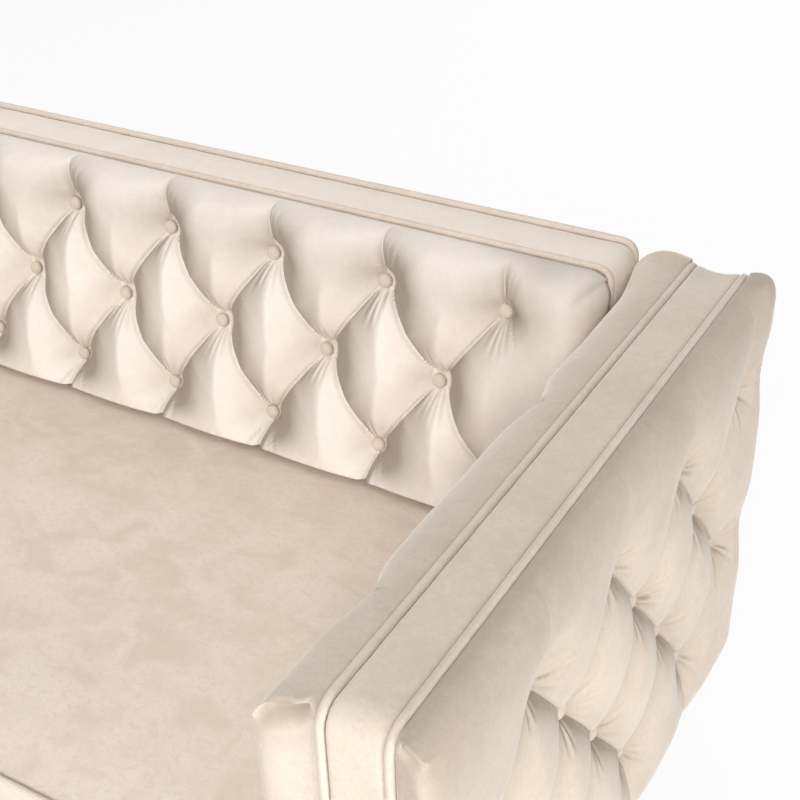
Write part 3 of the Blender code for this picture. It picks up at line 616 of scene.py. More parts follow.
# %% Points of a cover
def cover_points(cover):
    """Grid of a cover's points, out of the plane of its board, and the painted shade of each."""
    us, vs = cover["us"], cover["vs"]
    u, v = (g.ravel() for g in np.meshgrid(us, vs))
    u, v = drawn_to_folds(u, v, cover["pleats"], FOLD_SNAP)
    share, dips, lines, push_u, push_v = tuft(u, v, cover)
    wrinkles = gathers(u, v, cover)
    height = (cover["depth"] * share + wrinkles) * thinned(v, cover)
    height += cover.get("waver", 0.0016) * soft_noise(np.stack([u, v, 0 * u], 1), 11.0, cover["seed"])
    if "foot" in cover:
        height, push_v = pressed_foot(u, v, height, push_v, cover)
    gaps = (u - us[0], us[-1] - u, v - vs[0], vs[-1] - v)
    left, right, low = [rolled(g, *edge) for g, edge in zip(gaps[:3], cover["edges"])]
    end, rise, tighter, reach = cover.get("ear", (0, 0.0, 0.0, 1.0))
    ear = np.exp(-(gaps[end] / reach) ** 2)
    radius, *rest = cover["edges"][3]
    high = rolled(gaps[3], radius * (1.0 - tighter * ear), *rest)
    wide, tall = left[0] * right[0], low[0] * high[0]
    x = np.where(u < (us[0] + us[-1]) / 2, us[0] + left[1] - left[2] * tall, us[-1] - right[1] + right[2] * tall)
    y = np.where(v < (vs[0] + vs[-1]) / 2, vs[0] + low[1] - low[2] * wide, vs[-1] - high[1] + high[2] * wide)
    flat = wide * tall
    painted_shade = shaded(cover, height, dips, lines, wrinkles, gaps, flat)
    y = y + rise * ear * high[0] ** 3 * np.exp(-gaps[3] / 0.050)
    points = np.stack([x + push_u * np.sqrt(flat), y + push_v * flat, height * flat], 1)
    if "corner" in cover:
        rounded_corners(points, cover)
    if "lid" in cover:
        front, away = (left, gaps[0]) if cover["lid"][0] == us[0] else (right, gaps[1])
        pocket = tuck_front(points, cover, front[0], away, high[0])
        # painted shade in the pocket under the lip
        painted_shade = np.maximum(painted_shade, 0.9 * pocket)
    return points, painted_shade


print("cover points ready")

# %% Faces of a cover, and the cover itself
def cover_faces(points, columns, lines):
    """Triangles of a grid, each quad split along the crease, and a fan that closes the back."""
    index = np.arange(columns * lines).reshape(lines, columns)
    a, b = index[:-1, :-1].ravel(), index[:-1, 1:].ravel()
    c, d = index[1:, 1:].ravel(), index[1:, :-1].ravel()
    h = points[:, 2]
    first = np.abs(h[a] - h[c]) <= np.abs(h[b] - h[d])
    up = np.where(first[:, None], np.stack([a, b, c], 1), np.stack([a, b, d], 1))
    down = np.where(first[:, None], np.stack([a, c, d], 1), np.stack([b, c, d], 1))
    rim = np.concatenate([index[0, :], index[1:, -1], index[-1, -2::-1], index[-2:0:-1, 0]])
    middle = len(points)
    fan = np.stack([np.roll(rim, -1), rim, np.full(len(rim), middle)], 1)
    return np.concatenate([up, down, fan]).tolist()


def placed(points, origin, along, upright, out):
    """Points of a board's own plane carried to where the board stands."""
    axes = np.array([along, upright, out], float)
    return np.asarray(origin, float) + points @ axes


def tufted_cover(name, cover, node, mirror=False, finish=velvet):
    """Make a tufted cover, and its left-hand twin where it has one."""
    local, painted_shade = cover_points(cover)
    faces = cover_faces(local, len(cover["us"]), len(cover["vs"]))
    rim_centre = [[(local[:, 0].min() + local[:, 0].max()) / 2, (local[:, 1].min() + local[:, 1].max()) / 2, 0.0]]
    points = placed(np.concatenate([local, rim_centre]), *cover["board"])
    painted_shade = np.append(painted_shade, 0.0)
    for label, place, corners, stood_for in with_twin(name, points, faces, node, mirror):
        piece = new_piece(label, place, corners, finish, "sofa", painted_shade)
        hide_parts(stood_for)
        print(label, len(place), "points, box", [round(x, 3) for x in (*place.min(0), *place.max(0))])


print("tufted covers can be made")

# %% [markdown]
# ## The buttoned back
# Three rows of buttons cross the back, 175 mm apart, and the puffs come down onto the seat.
# The padding stands on the leaning plywood board, so the cover is worked out in the board's
# plane and then carried to where the board stands.

# %% Cover of the back
lean = (math.sin(BACK_TILT), math.cos(BACK_TILT))
BACK_PITCH, BACK_ROW, BACK_FIRST_ROW = 0.1755, 0.1206, -0.067
back_foot = -(FRAME_TOP - SEAT_TOP + 0.050) / lean[1]
back_seat = -0.3492
last_button = BACK_HALF - 0.100
back_rows = button_rows(3, BACK_FIRST_ROW, BACK_ROW, 0.0, BACK_PITCH, -last_button, last_button)
back_cover = {
    "depth": 0.074, "button_share": 0.26, "lap": (-1, 0), "lap_share": (1.0, 1.0), "lean": -0.022,
    "pile_and_flank_shade": (0.80, 0.0, 0.16), "flank_shade_fade": 0.22, "soft": 2.3, "fans": ((-1, 0.0, 7), (1, 0.0, 5)),
    "slant_right": (0.62, 0.046, 0.084, 0.10), "slant_left": (0.62, 0.046, 0.084, 0.10),
    "rising": (0.96, 0.056, 0.074, 0.05), "falling": (0.97, 0.024, 0.034, 0.20),
    "lip": 0.0026, "lip_width": 0.0036, "overhang": 0.0030,
    "gather": 0.0022, "gather_reach": 0.042, "seed": 3, "fill": 0.75,
    "rows": back_rows, "pleats": pleat_lines(back_rows, BACK_PITCH, 0.0, back_seat),
    "foot": (0.014, back_seat, 0.010, 0.0075), "corner": 0.030,
    "dip_shade": 0.10, "top_shade": (0.30, 0.034, 0.045), "end_shade": (0.42, 0.075, 0.080),
    "edges": ((0.040, 0.0, 0.85), (0.040, 0.0, 0.85), (0.010, 0.0, 1.0), (0.044, 0.004, 0.85, 0.003)),
    "board": ((0, BACK_FRONT_TOP - GAP, FRAME_TOP), (1, 0, 0), (0, *lean), (0, -lean[1], lean[0])),
    "us": grid_lines(-BACK_HALF, BACK_HALF, 0.0, BACK_PITCH / 2, 30, (0.040, 0.040)),
    "vs": grid_lines(back_foot, 0.0, BACK_FIRST_ROW, BACK_ROW, 30, (0.010, 0.044),
                     [back_seat + x for x in (0.0, 0.0006, 0.0016, 0.0028, 0.0044, 0.0066, 0.0100, 0.014)]),
}
tufted_cover("back_tufted_cover", back_cover, "back_pad", finish=back_velvet)

# %% [markdown]
# ## The arms
# The outside of each arm is buttoned in four close rows, so deep that from above the puffs hide
# their buttons. The seat side has wide diamonds and a plump roll that laps over the arm's top.
# Only the right arm is worked out, and the left one is its mirror image.

# %% Cover outside the arm
def front_lines(end, sign, radius, square):
    """Grid lines round the front of a pad that divide its end face evenly."""
    return [end + sign * radius * math.asin((i / 20) ** (1 / square)) * 2 / math.pi for i in range(3, 20)]


OUTER_PITCH, OUTER_ROW, OUTER_FIRST_ROW = 0.188, 0.1185, -0.118
outer_start = ARM_REAR - 0.068
outer_foot = BASE - FRAME_TOP
outer_rows = button_rows(4, OUTER_FIRST_ROW, OUTER_ROW, outer_start, OUTER_PITCH, ARM_FRONT + 0.090, ARM_REAR - 0.034)
outer_cover = {
    "depth": 0.039, "button_share": 0.10, "lap": (0, 1), "lap_share": (0.10, 1.0), "lean": -0.004,
    "pile_and_flank_shade": (-0.75, -0.65, -0.15), "flank_shade_focus": 0.55, "fans": ((1, 1.75, 6), (-1, 0.2, 2)),
    "slant_right": (0.30, 0.045, 0.088, 0.60), "slant_left": (0.42, 0.045, 0.090, 0.55),
    "rising": (1.00, 0.052, 0.086, 0.75), "falling": (0.85, 0.060, 0.086, 0.60),
    "lip": 0.0030, "lip_width": 0.005, "overhang": 0.0050,
    "gather": 0.0046, "gather_reach": 0.044, "seed": 11, "fill": 0.8,
    "rows": outer_rows, "pleats": pleat_lines(outer_rows, OUTER_PITCH, 0.0, outer_foot),
    "edges": ((0.020, 0.014, 0.66, 0.004), (0.026, 0.010, 0.9, 0.004), (0.060, 0.0, 1.0),
              (0.055, 0.004, 1.0, 0.005)),
    "top_shade": (0.58, 0.16, 0.0), "taper": (0.07, 0.14, 0.40), "line_shade": 0.75, "ear": (1, 0.030, 0.55, 0.045),
    "board": ((OUTER_SEAM, 0, FRAME_TOP), (0, 1, 0), (0, 0, 1), (1, 0, 0)),
    "us": grid_lines(ARM_FRONT, ARM_REAR, outer_start, OUTER_PITCH / 2, 44, (0.020, 0.026),
                     front_lines(ARM_FRONT, 1, 0.020, 0.66)),
    "vs": grid_lines(outer_foot, 0.0, OUTER_FIRST_ROW, OUTER_ROW, 44, (0.060, 0.055)),
    "lid": (ARM_FRONT, -1, 0.014, 0.007, 0.78),
}
tufted_cover("right_arm_outer_cover", outer_cover, "right_arm_outer_pad", mirror=True)

# %% Cover on the seat side of the arm
INNER_PITCH, INNER_ROW, INNER_FIRST_ROW = 0.340, 0.118, -0.064
inner_start = -ARM_FRONT - 0.152
inner_foot = DECK_TOP + GAP - FRAME_TOP
inner_rows = button_rows(3, INNER_FIRST_ROW, INNER_ROW, -inner_start, INNER_PITCH, ARM_FRONT + 0.06,
                         BACK_FRONT_TOP - 0.172)
inner_rows = [[(-u, v) for u, v in row] for row in inner_rows]
inner_cover = {
    "depth": 0.066, "button_share": 0.36, "lap": (0, 1), "lap_share": (1.0, 1.0), "lean": -0.016,
    "pile_and_flank_shade": (0.0, -0.80, -0.15), "fans": ((-1, 0.0, 5), (1, 0.0, 5)),
    "slant_right": (0.78, 0.060, 0.074, 0.35), "slant_left": (0.78, 0.060, 0.074, 0.35),
    "rising": (0.955, 0.040, 0.020, 0.2), "falling": (0.95, 0.030, 0.050, 0.2),
    "lip": 0.0030, "lip_width": 0.006, "overhang": 0.0040,
    "gather": 0.0022, "gather_reach": 0.040, "seed": 23, "fill": 0.75,
    "rows": inner_rows, "pleats": pleat_lines(inner_rows, INNER_PITCH, 0.0, SEAT_TOP - FRAME_TOP),
    "edges": ((0.022, 0.014, 0.9, 0.004), (0.012, 0.008, 0.62, 0.004), (0.012, 0.0, 1.0),
              (0.058, 0.002, 0.92, 0.004)),
    "top_shade": (0.34, 0.018, 0.0), "ear": (0, 0.042, 0.45, 0.050),
    "puckers": [((-ARM_FRONT - 0.006, -0.004), ((-1, 0.9, 5),))],
    "board": ((INNER_SEAM, 0, FRAME_TOP), (0, -1, 0), (0, 0, 1), (-1, 0, 0)),
    "us": grid_lines(-ARM_REAR, -ARM_FRONT, inner_start, INNER_PITCH / 2, 34, (0.022, 0.012),
                     front_lines(-ARM_FRONT, -1, 0.012, 0.62)),
    "vs": grid_lines(inner_foot, 0.0, INNER_FIRST_ROW, INNER_ROW, 34, (0.012, 0.058)),
    "lid": (-ARM_FRONT, 1, 0.026, 0.016, 1.03),
}
tufted_cover("right_arm_inner_cover", inner_cover, "right_arm_inner_pad", mirror=True)

# %% [markdown]
# ## Covered buttons
# Each button is a small tin dome wrapped in the same velvet. It is turned from a profile: a
# rim tucked into the tuft, a swelling side and a shallow crown.

# %% Buttons
BUTTON = 0.0205
BUTTON_PROFILE = [(0.30, -0.0030), (0.44, -0.0018), (0.50, 0.0004), (0.495, 0.0024), (0.45, 0.0044),
                  (0.36, 0.0060), (0.22, 0.0070), (0.08, 0.0074)]


def ring_faces(rings, sides, start=0, closed=False):
    """Faces between rings of points, with two flat ends unless the last ring joins the first."""
    faces = []
    for i in range(rings if closed else rings - 1):
        here, ahead = start + i * sides, start + (i + 1) % rings * sides
        for k in range(sides):
            m = (k + 1) % sides
            faces.append((here + k, here + m, ahead + m, ahead + k))
    if not closed:
        last = start + (rings - 1) * sides
        faces.append(tuple(range(start + sides - 1, start - 1, -1)))
        faces.append(tuple(range(last, last + sides)))
    return faces


def buttons(name, cover, mirror=False):
    """Domes of velvet seated in the tufts of a cover."""
    around = 28
    turns = np.linspace(0, 2 * np.pi, around, endpoint=False)
    points, faces = [], []
    for u, v in [spot for row in cover["rows"] for spot in row]:
        seat = cover["depth"] * cover["button_share"] * thinned(v, cover) + cover.get("button_lift", 0.0)
        faces += ring_faces(len(BUTTON_PROFILE), around, len(points))
        for radius, rise in BUTTON_PROFILE:
            reach = BUTTON * radius
            points += [(u + reach * math.cos(turn), v + reach * math.sin(turn), seat + rise) for turn in turns]
    points = placed(np.array(points), *cover["board"])
    for label, place, corners, _ in with_twin(name, points, faces, "", mirror):
        new_piece(label, place, corners, velvet, "sofa")
    print(name, len(faces), "faces")


back_cover["button_lift"] = 0.005
inner_cover["button_lift"] = 0.003
buttons("back_buttons", back_cover)
buttons("right_arm_inner_buttons", inner_cover, mirror=True)
buttons("right_arm_outer_buttons", outer_cover, mirror=True)

# %% [markdown]
# ## Piping
# A cord wrapped in velvet runs along every seam. Its cover is cut on the bias and drawn tight
# by stitches, so its thickness wavers a little. A tube swept along each seam, with a slow
# change of radius, shows that better than a plain bevelled curve would.

# %% Runs along the seams
def even_run(points, step, closed=False):
    """The same run of points with even steps."""
    points = np.asarray(points, float)
    if closed:
        points = np.concatenate([points, points[:1]])
    lengths = np.concatenate([[0.0], np.cumsum(np.linalg.norm(np.diff(points, axis=0), axis=1))])
    count = max(2, round(lengths[-1] / step))
    at = np.linspace(0.0, lengths[-1], count + 1)
    run = np.stack([np.interp(at, lengths, points[:, k]) for k in range(3)], 1)
    return run[:-1] if closed else run


def arch(left, right, foot, top, radius, steps=10):
    """Run up one side, over a top with two round corners and down the other side."""
    points = [(left, foot)]
    for i in range(steps + 1):
        turn = math.pi - i * math.pi / (2 * steps)
        points.append((left + radius + radius * math.cos(turn), top - radius + radius * math.sin(turn)))
    for i in range(steps + 1):
        turn = math.pi / 2 - i * math.pi / (2 * steps)
        points.append((right - radius + radius * math.cos(turn), top - radius + radius * math.sin(turn)))
    points.append((right, foot))
    return points


print("runs ready")

# %% A cord of velvet
def corded(run, radius, seed, closed=False, sides=12, waver=0.05):
    """Points and faces of a velvet cord swept along a run."""
    run = even_run(run, 0.0065, closed)
    count = len(run)
    ahead = np.roll(run, -1, 0) - np.roll(run, 1, 0)
    if not closed:
        ahead[0], ahead[-1] = run[1] - run[0], run[-1] - run[-2]
    ahead /= np.linalg.norm(ahead, axis=1)[:, None]
    side = np.cross(ahead, (0.31, 0.17, 0.93))
    side = np.where(np.linalg.norm(side, axis=1)[:, None] < 0.3, np.cross(ahead, (0.93, 0.17, 0.31)), side)
    side[0] /= np.linalg.norm(side[0])
    for i in range(1, count):
        kept = side[i - 1] - ahead[i] * (side[i - 1] @ ahead[i])
        side[i] = kept / np.linalg.norm(kept)
    rise = np.cross(ahead, side)
    girth = radius * (1.0 + waver * soft_noise(run, 38.0, seed))
    points = []
    for k in range(sides):
        turn = 2 * math.pi * k / sides
        points.append(run + girth[:, None] * (math.cos(turn) * side + math.sin(turn) * rise))
    return np.stack(points, 1).reshape(-1, 3), ring_faces(count, sides, closed=closed)


def piping(name, run, radius, seed, body, node, closed=False, mirror=False):
    """A cord of velvet that stands for a piping of the frame."""
    points, faces = corded(run, radius, seed, closed)
    for label, place, corners, stood_for in with_twin(name, points, faces, node, mirror):
        piece = new_piece(label, place, corners, velvet, body)
        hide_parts(stood_for)
    steps = np.linalg.norm(np.diff(even_run(run, 0.01), axis=0), axis=1)
    print(name, "run of", round(float(steps.sum()), 3), "m")


# %% Cords of the arms and the back
CORD = PIPING / 2
ARM_CORNER = 0.016
arm_run = arch(ARM_FRONT - GAP - CORD, ARM_REAR + GAP + CORD, BASE, FRAME_TOP + GAP + CORD, ARM_CORNER + GAP + CORD)
for label, x in (("inner", INNER_SEAM + GAP + CORD), ("outer", OUTER_SEAM - GAP - CORD)):
    piping("right_arm_" + label + "_welt", [(x, y, z) for y, z in arm_run], CORD, 5 + len(label), "sofa",
           "right_arm_" + label + "_piping", mirror=True)

BACK_CORNER = 0.022
BACK_END_DROP = 0.110
REAR_CORD = 1.12 * CORD
for label, thick, y, foot in (("front", CORD, BACK_FRONT_TOP + CORD, FRAME_TOP - BACK_END_DROP),
                              ("rear", REAR_CORD, RAIL_REAR + GAP + REAR_CORD, DECK_TOP + 0.004)):
    end = BACK_HALF - thick - GAP
    back_run = arch(-end, end, foot, FRAME_TOP + GAP + thick, BACK_CORNER - thick)
    piping("back_" + label + "_welt", [(x, y, z) for x, z in back_run], thick, 14 + len(label), "sofa",
           "back_" + label + "_piping")

# %% [markdown]
# ## Borders between the cords
# A strip of velvet over thin wadding lies between each pair of cords: over the top and ends of
# the back, and up the front, over the top and down the rear of each arm. It is a little full in
# the middle and puckers where the stitches draw it in.

# %% A padded strip of velvet
def strip_faces(wide, long):
    """Faces of a closed strip: a top grid, the same grid under it, and the sides and ends between them."""
    half = wide * long
    faces = []
    for i in range(long - 1):
        for k in range(wide - 1):
            a = i * wide + k
            faces.append((a, a + 1, a + wide + 1, a + wide))
            faces.append((half + a + wide, half + a + wide + 1, half + a + 1, half + a))
        for k, flip in ((0, False), (wide - 1, True)):
            a = i * wide + k
            quad = (a, a + wide, half + a + wide, half + a)
            faces.append(quad[::-1] if flip else quad)
    for i, flip in ((0, True), (long - 1, False)):
        for k in range(wide - 1):
            a = i * wide + k
            quad = (a, a + 1, half + a + 1, half + a)
            faces.append(quad if flip else quad[::-1])
    return faces


def strip(name, run, low, high, axis, thickness, crown, seed, node, mirror=False, sag=None, finish=velvet):
    """A padded strip that follows a run in the plane across an axis, between two places on that axis."""
    run = even_run([(a, b, 0.0) for a, b in run], 0.008)[:, :2]
    ahead = np.gradient(run, axis=0)
    ahead /= np.linalg.norm(ahead, axis=1)[:, None]
    out = np.stack([-ahead[:, 1], ahead[:, 0]], 1)
    shares = np.linspace(0.0, 1.0, 19)
    shares = 0.5 - 0.5 * np.cos(shares * np.pi)
    across = low + (high - low) * shares
    edge = np.minimum(shares, 1 - shares) * (high - low)
    body = np.sqrt(1.0 - (1.0 - np.clip(edge / 0.005, 0, 1)) ** 2)
    top, under = [], []
    for p, n in zip(run, out):
        ripple = 0.0006 * np.array([noise.noise(Vector((p[0] * 42 + seed, p[1] * 42, e * 16))) for e in across])
        ripple *= np.exp(-edge / 0.014)
        lift = thickness * (0.35 + 0.65 * body) + crown * np.sin(np.pi * shares) + ripple
        if sag is not None:
            lift = lift - sag(p) * np.sin(np.pi * shares)
        for e, rise in zip(across, lift):
            top.append((p[0] + n[0] * rise, p[1] + n[1] * rise, e))
            under.append((p[0], p[1], e))
    points = np.array(top + under)
    order = {"x": (2, 0, 1), "y": (0, 2, 1)}[axis]
    points = points[:, order]
    faces = strip_faces(len(across), len(run))
    for label, place, corners, stood_for in with_twin(name, points, faces, node, mirror):
        piece = new_piece(label, place, corners, finish, "sofa")
        build = bmesh.new()
        build.from_mesh(piece.data)
        bmesh.ops.recalc_face_normals(build, faces=build.faces)
        build.to_mesh(piece.data)
        build.free()
        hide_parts(stood_for)
    print(name, len(points), "points")


# %% Borders of the arms and the back
def rear_sag(p):
    """How far the border of an arm sinks between its cords near the rear end of the top."""
    return 0.0050 * math.exp(-((p[0] - ARM_REAR) / 0.05) ** 2) * (p[1] > FRAME_TOP - 0.010)


arm_band_run = arch(ARM_FRONT - GAP, ARM_REAR + GAP, BASE, FRAME_TOP + GAP, ARM_CORNER + GAP)
strip("right_arm_border", arm_band_run, INNER_SEAM + PIPING + 2 * GAP, OUTER_SEAM - PIPING - 2 * GAP, "x", 0.0075,
      0.0004, 31, "right_arm_band", mirror=True, sag=rear_sag)
BAND_INSET = 0.0055
band_end = BACK_HALF - BAND_INSET
back_band_run = arch(-band_end, band_end, FRAME_TOP - BACK_END_DROP, FRAME_TOP + GAP, BACK_CORNER - BAND_INSET)
strip("back_top_border", back_band_run, BACK_FRONT_TOP + PIPING + GAP, RAIL_REAR, "y", 0.0040, 0.0030, 37,
      "back_top_band", finish=border_velvet)

# %% [markdown]
# ## The bench cushion
# The seat is one long loose cushion of foam in a velvet case: two crowned panels, a boxing
# strip between them and a cord round each seam. Air and foam push the case out between its
# seams. A cloth simulation with pressure inside and the seams pinned finds that swelling, and
# the wrinkles it draws in at the corners.

# %% Case of the cushion
cushion_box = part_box("seat_cushion")
CUSHION_CROWN = 0.016
CUSHION_DRAW_IN = 0.006
CUSHION_CORD = 0.0035
cushion_low, cushion_high = cushion_box[0], cushion_box[1]
cushion_edge = SEAT_TOP - (CUSHION_CORD + (CUSHION_CORD + GAP) * math.cos(math.pi / 4))


def cushion_point(a, b, c):
    """Place on the case for shares of its width, depth and height from -1 to 1."""
    middle = (cushion_low + cushion_high) / 2
    half = (cushion_high - cushion_low) / 2
    x = a * (half.x - CUSHION_DRAW_IN * (1 - b ** 4))
    y = middle.y + b * (half.y - CUSHION_DRAW_IN * (1 - a ** 4))
    z = (cushion_low.z + cushion_edge) / 2 + c * (cushion_edge - cushion_low.z) / 2
    if c > 0:
        z += c * CUSHION_CROWN * (1 - a ** 6) * (1 - b ** 4)
    return x, y, z


CUSHION_CUTS = (170, 68, 12)
case_mesh = bpy.data.meshes.new("seat_cushion_case")
case = bmesh.new()
bmesh.ops.create_cube(case, size=2.0)
for axis, cuts in enumerate(CUSHION_CUTS):
    run = [e for e in case.edges if abs((e.verts[0].co - e.verts[1].co)[axis]) > 1.9]
    bmesh.ops.subdivide_edges(case, edges=run, cuts=cuts, use_grid_fill=True)
seam = [v.index for v in case.verts if abs(v.co.z) > 0.999 and max(abs(v.co.x), abs(v.co.y)) > 0.999]
for vert in case.verts:
    vert.co = cushion_point(*vert.co)
case.to_mesh(case_mesh)
case.free()
cushion = bpy.data.objects.new("seat_cushion_case", case_mesh)
bpy.context.scene.collection.objects.link(cushion)
case_mesh.materials.append(seat_velvet)
case_mesh.polygons.foreach_set("use_smooth", [True] * len(case_mesh.polygons))
print("cushion case", len(case_mesh.vertices), "points,", len(seam), "of them on the seams")

# %% Swell the case
SWELL_CAP = 0.006


def swell(piece, pins, pressure, frames):
    """Cloth with pressure inside, pinned at its seams, applied to the mesh with a cap on how far it moves."""
    rest = np.array([v.co for v in piece.data.vertices])
    group = piece.vertex_groups.new(name="seam")
    group.add(pins, 1.0, "ADD")
    cloth = piece.modifiers.new("case", "CLOTH")
    cloth.settings.use_pressure = True
    cloth.settings.uniform_pressure_force = pressure
    cloth.settings.vertex_group_mass = group.name
    cloth.settings.tension_stiffness = 30.0
    cloth.settings.compression_stiffness = 30.0
    cloth.settings.bending_stiffness = 1.5
    cloth.settings.effector_weights.gravity = 0.0
    cloth.collision_settings.use_collision = False
    cloth.point_cache.frame_start = 1
    cloth.point_cache.frame_end = frames
    scene = bpy.context.scene
    for step in range(1, frames + 1):
        scene.frame_set(step)
    graph = bpy.context.evaluated_depsgraph_get()
    shaped = piece.evaluated_get(graph).to_mesh()
    moved = np.array([v.co for v in shaped.vertices]) - rest
    far = np.linalg.norm(moved, axis=1)
    moved *= (np.minimum(far, SWELL_CAP) / np.maximum(far, 1e-9))[:, None]
    piece.modifiers.remove(cloth)
    piece.data.vertices.foreach_set("co", (rest + moved).ravel())
    piece.data.update()
    scene.frame_set(1)
    print(piece.name, "swelled by up to", round(float(far.max()) * 1000, 1), "mm")


SWELL_PRESSURE, SWELL_FRAMES = 4.0, 16
swell(cushion, seam, SWELL_PRESSURE, SWELL_FRAMES)
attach(cushion, "cushion")
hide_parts("seat_cushion")

# %% Cords of the cushion
def cushion_cord(c):
    """Run of the cord just outside the top or bottom seam of the case."""
    stand = (CUSHION_CORD + GAP) * math.cos(math.pi / 4)
    walk = [(i / 20 - 1, -1) for i in range(40)] + [(1, i / 10 - 1) for i in range(20)]
    walk += [(-x, -y) for x, y in walk]
    run = []
    for a, b in walk:
        x, y, z = cushion_point(a, b, c)
        out = (a if abs(a) == 1 else 0.0, b if abs(b) == 1 else 0.0)
        run.append((x + stand * out[0], y + stand * out[1], z + stand * c))
    return run


for label, c in (("top", 1), ("bottom", -1)):
    piping("seat_cushion_" + label + "_welt", cushion_cord(c), CUSHION_CORD, 41 + c, "cushion",
           "seat_cushion_" + label + "_piping", closed=True)

# %% [markdown]
# ## Plain covers
# Behind the tufting the covers are plain: the panel on the outside of the back, the border on
# the front rail and the cloth of the deck under the cushion. Each is a thin pad with a rolled
# edge. A plain pad is a tufted cover without buttons, so the same function makes the border
# and the deck; the panel has its own section below.

# %% Front border and deck
BORDER = 0.010
PLAIN = {
    "button_share": 0.0, "rows": [], "pleats": [], "pile_and_flank_shade": (0, 0, 0), "seed": 51, "fill": 0.7, "waver": 0.0008,
}
front_border = dict(PLAIN, depth=BORDER, **{
    "edges": ((0.006, 0.0, 0.9), (0.006, 0.0, 0.9), (0.008, 0.001, 0.9), (0.008, 0.001, 0.9)),
    "board": ((0, RAIL_FRONT - GAP, BASE), (1, 0, 0), (0, 0, 1), (0, -1, 0)),
    "us": grid_lines(-INNER_SEAM, INNER_SEAM, 0.0, 0.10, 8, (0.006, 0.006)),
    "vs": grid_lines(0.0, DECK_TOP - BASE, 0.0, 0.03, 4, (0.008, 0.008)),
})
tufted_cover("front_border_cover", front_border, "front_border")

deck_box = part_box("deck_pad")
deck_pad = dict(PLAIN, depth=deck_box[1].z - deck_box[0].z, waver=0.0, **{
    "edges": ((0.006, 0.0, 0.9),) * 4,
    "board": ((0, 0, deck_box[0].z), (1, 0, 0), (0, 1, 0), (0, 0, 1)),
    "us": grid_lines(deck_box[0].x, deck_box[1].x, 0.0, 0.10, 5, (0.006, 0.006)),
    "vs": grid_lines(deck_box[0].y, deck_box[1].y, 0.0, 0.10, 5, (0.006, 0.006)),
})
tufted_cover("deck_cloth", deck_pad, "deck_pad")

# %% [markdown]
# ## Outside of the back
# The rear panel is one plain piece of velvet over thin wadding. It covers the back between its
# cords and, below the deck, the whole rear rail, so its outline is a wide foot under a narrower
# top with round corners. A grid whose points sink towards that outline gives its rolled edge.

# %% Rear panel
PANEL_ROLL = 0.012
PANEL_HALF = BACK_HALF - 2 * REAR_CORD - 2 * GAP
PANEL_CORNER = BACK_CORNER - 2 * REAR_CORD
panel_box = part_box("back_outside_panel")
panel_depth = panel_box[1].y - panel_box[0].y
turn_in = PANEL_ROLL * np.linspace(0, 1, 7)
ends = [side * (end - turn_in) for side in (-1, 1) for end in (PANEL_HALF, INNER_SEAM)]
xs = np.unique(np.concatenate([np.linspace(-INNER_SEAM, INNER_SEAM, 91)] + ends))
levels = [BASE + turn_in, FRAME_TOP - turn_in, DECK_TOP - turn_in]
zs = np.unique(np.concatenate([np.linspace(BASE, FRAME_TOP, 31)] + levels))
shape = bmesh.new()
front_corners, rear_corners, padded_places = {}, {}, set()
for i, x in enumerate(xs):
    for k, z in enumerate(zs):
        side, above = PANEL_HALF - abs(x), FRAME_TOP - z
        upper = min(side, above, z - BASE)
        lower = min(INNER_SEAM - abs(x), DECK_TOP - z, z - BASE)
        if max(upper, lower) < -1e-6:
            continue
        if max(side, above) < PANEL_CORNER:
            upper = PANEL_CORNER - math.hypot(PANEL_CORNER - side, PANEL_CORNER - above)
        inset = max(upper, lower)
        if inset > 1e-6:
            padded_places.add((i, k))
        full = math.sqrt(1.0 - (1.0 - min(1.0, max(inset, 0.0) / PANEL_ROLL)) ** 2)
        wave = 0.0012 * noise.noise(Vector((x * 5, z * 5, 4.0))) * full
        rear_corners[i, k] = shape.verts.new((x, panel_box[0].y + panel_depth * full * 0.9 + wave, z))
        front_corners[i, k] = shape.verts.new((x, panel_box[0].y, z))
for i in range(len(xs) - 1):
    for k in range(len(zs) - 1):
        ring = [(i, k), (i + 1, k), (i + 1, k + 1), (i, k + 1)]
        if all(c in rear_corners for c in ring) and padded_places.intersection(ring):
            shape.faces.new([rear_corners[c] for c in ring[::-1]])
            shape.faces.new([front_corners[c] for c in ring])
bmesh.ops.remove_doubles(shape, verts=shape.verts, dist=0.00001)
loose = [v for v in shape.verts if not v.link_faces]
bmesh.ops.delete(shape, geom=loose, context="VERTS")
bmesh.ops.recalc_face_normals(shape, faces=shape.faces)
if shape.calc_volume(signed=True) < 0:
    bmesh.ops.reverse_faces(shape, faces=shape.faces)
shape.verts.index_update()
panel_points = [v.co.copy() for v in shape.verts]
panel_faces = [[v.index for v in f.verts] for f in shape.faces]
shape.free()
back_outside = new_piece("back_outside_cover", panel_points, panel_faces, velvet, "sofa")
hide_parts("back_outside_panel")
print("outside of the back", len(panel_points), "points")

# %% [markdown]
# ## Hard finishes and inner cloths
# Under the velvet are sawn softwood, plywood, drawn steel springs, a felt deck and a black
# lining. They show only when the cushion is out or the sofa is turned over, but each still has
# its own finish. Wood is noise stretched along the grain, with finer dashes for its pores, and
# a cloth is two crossed layers of stretched noise for its threads.

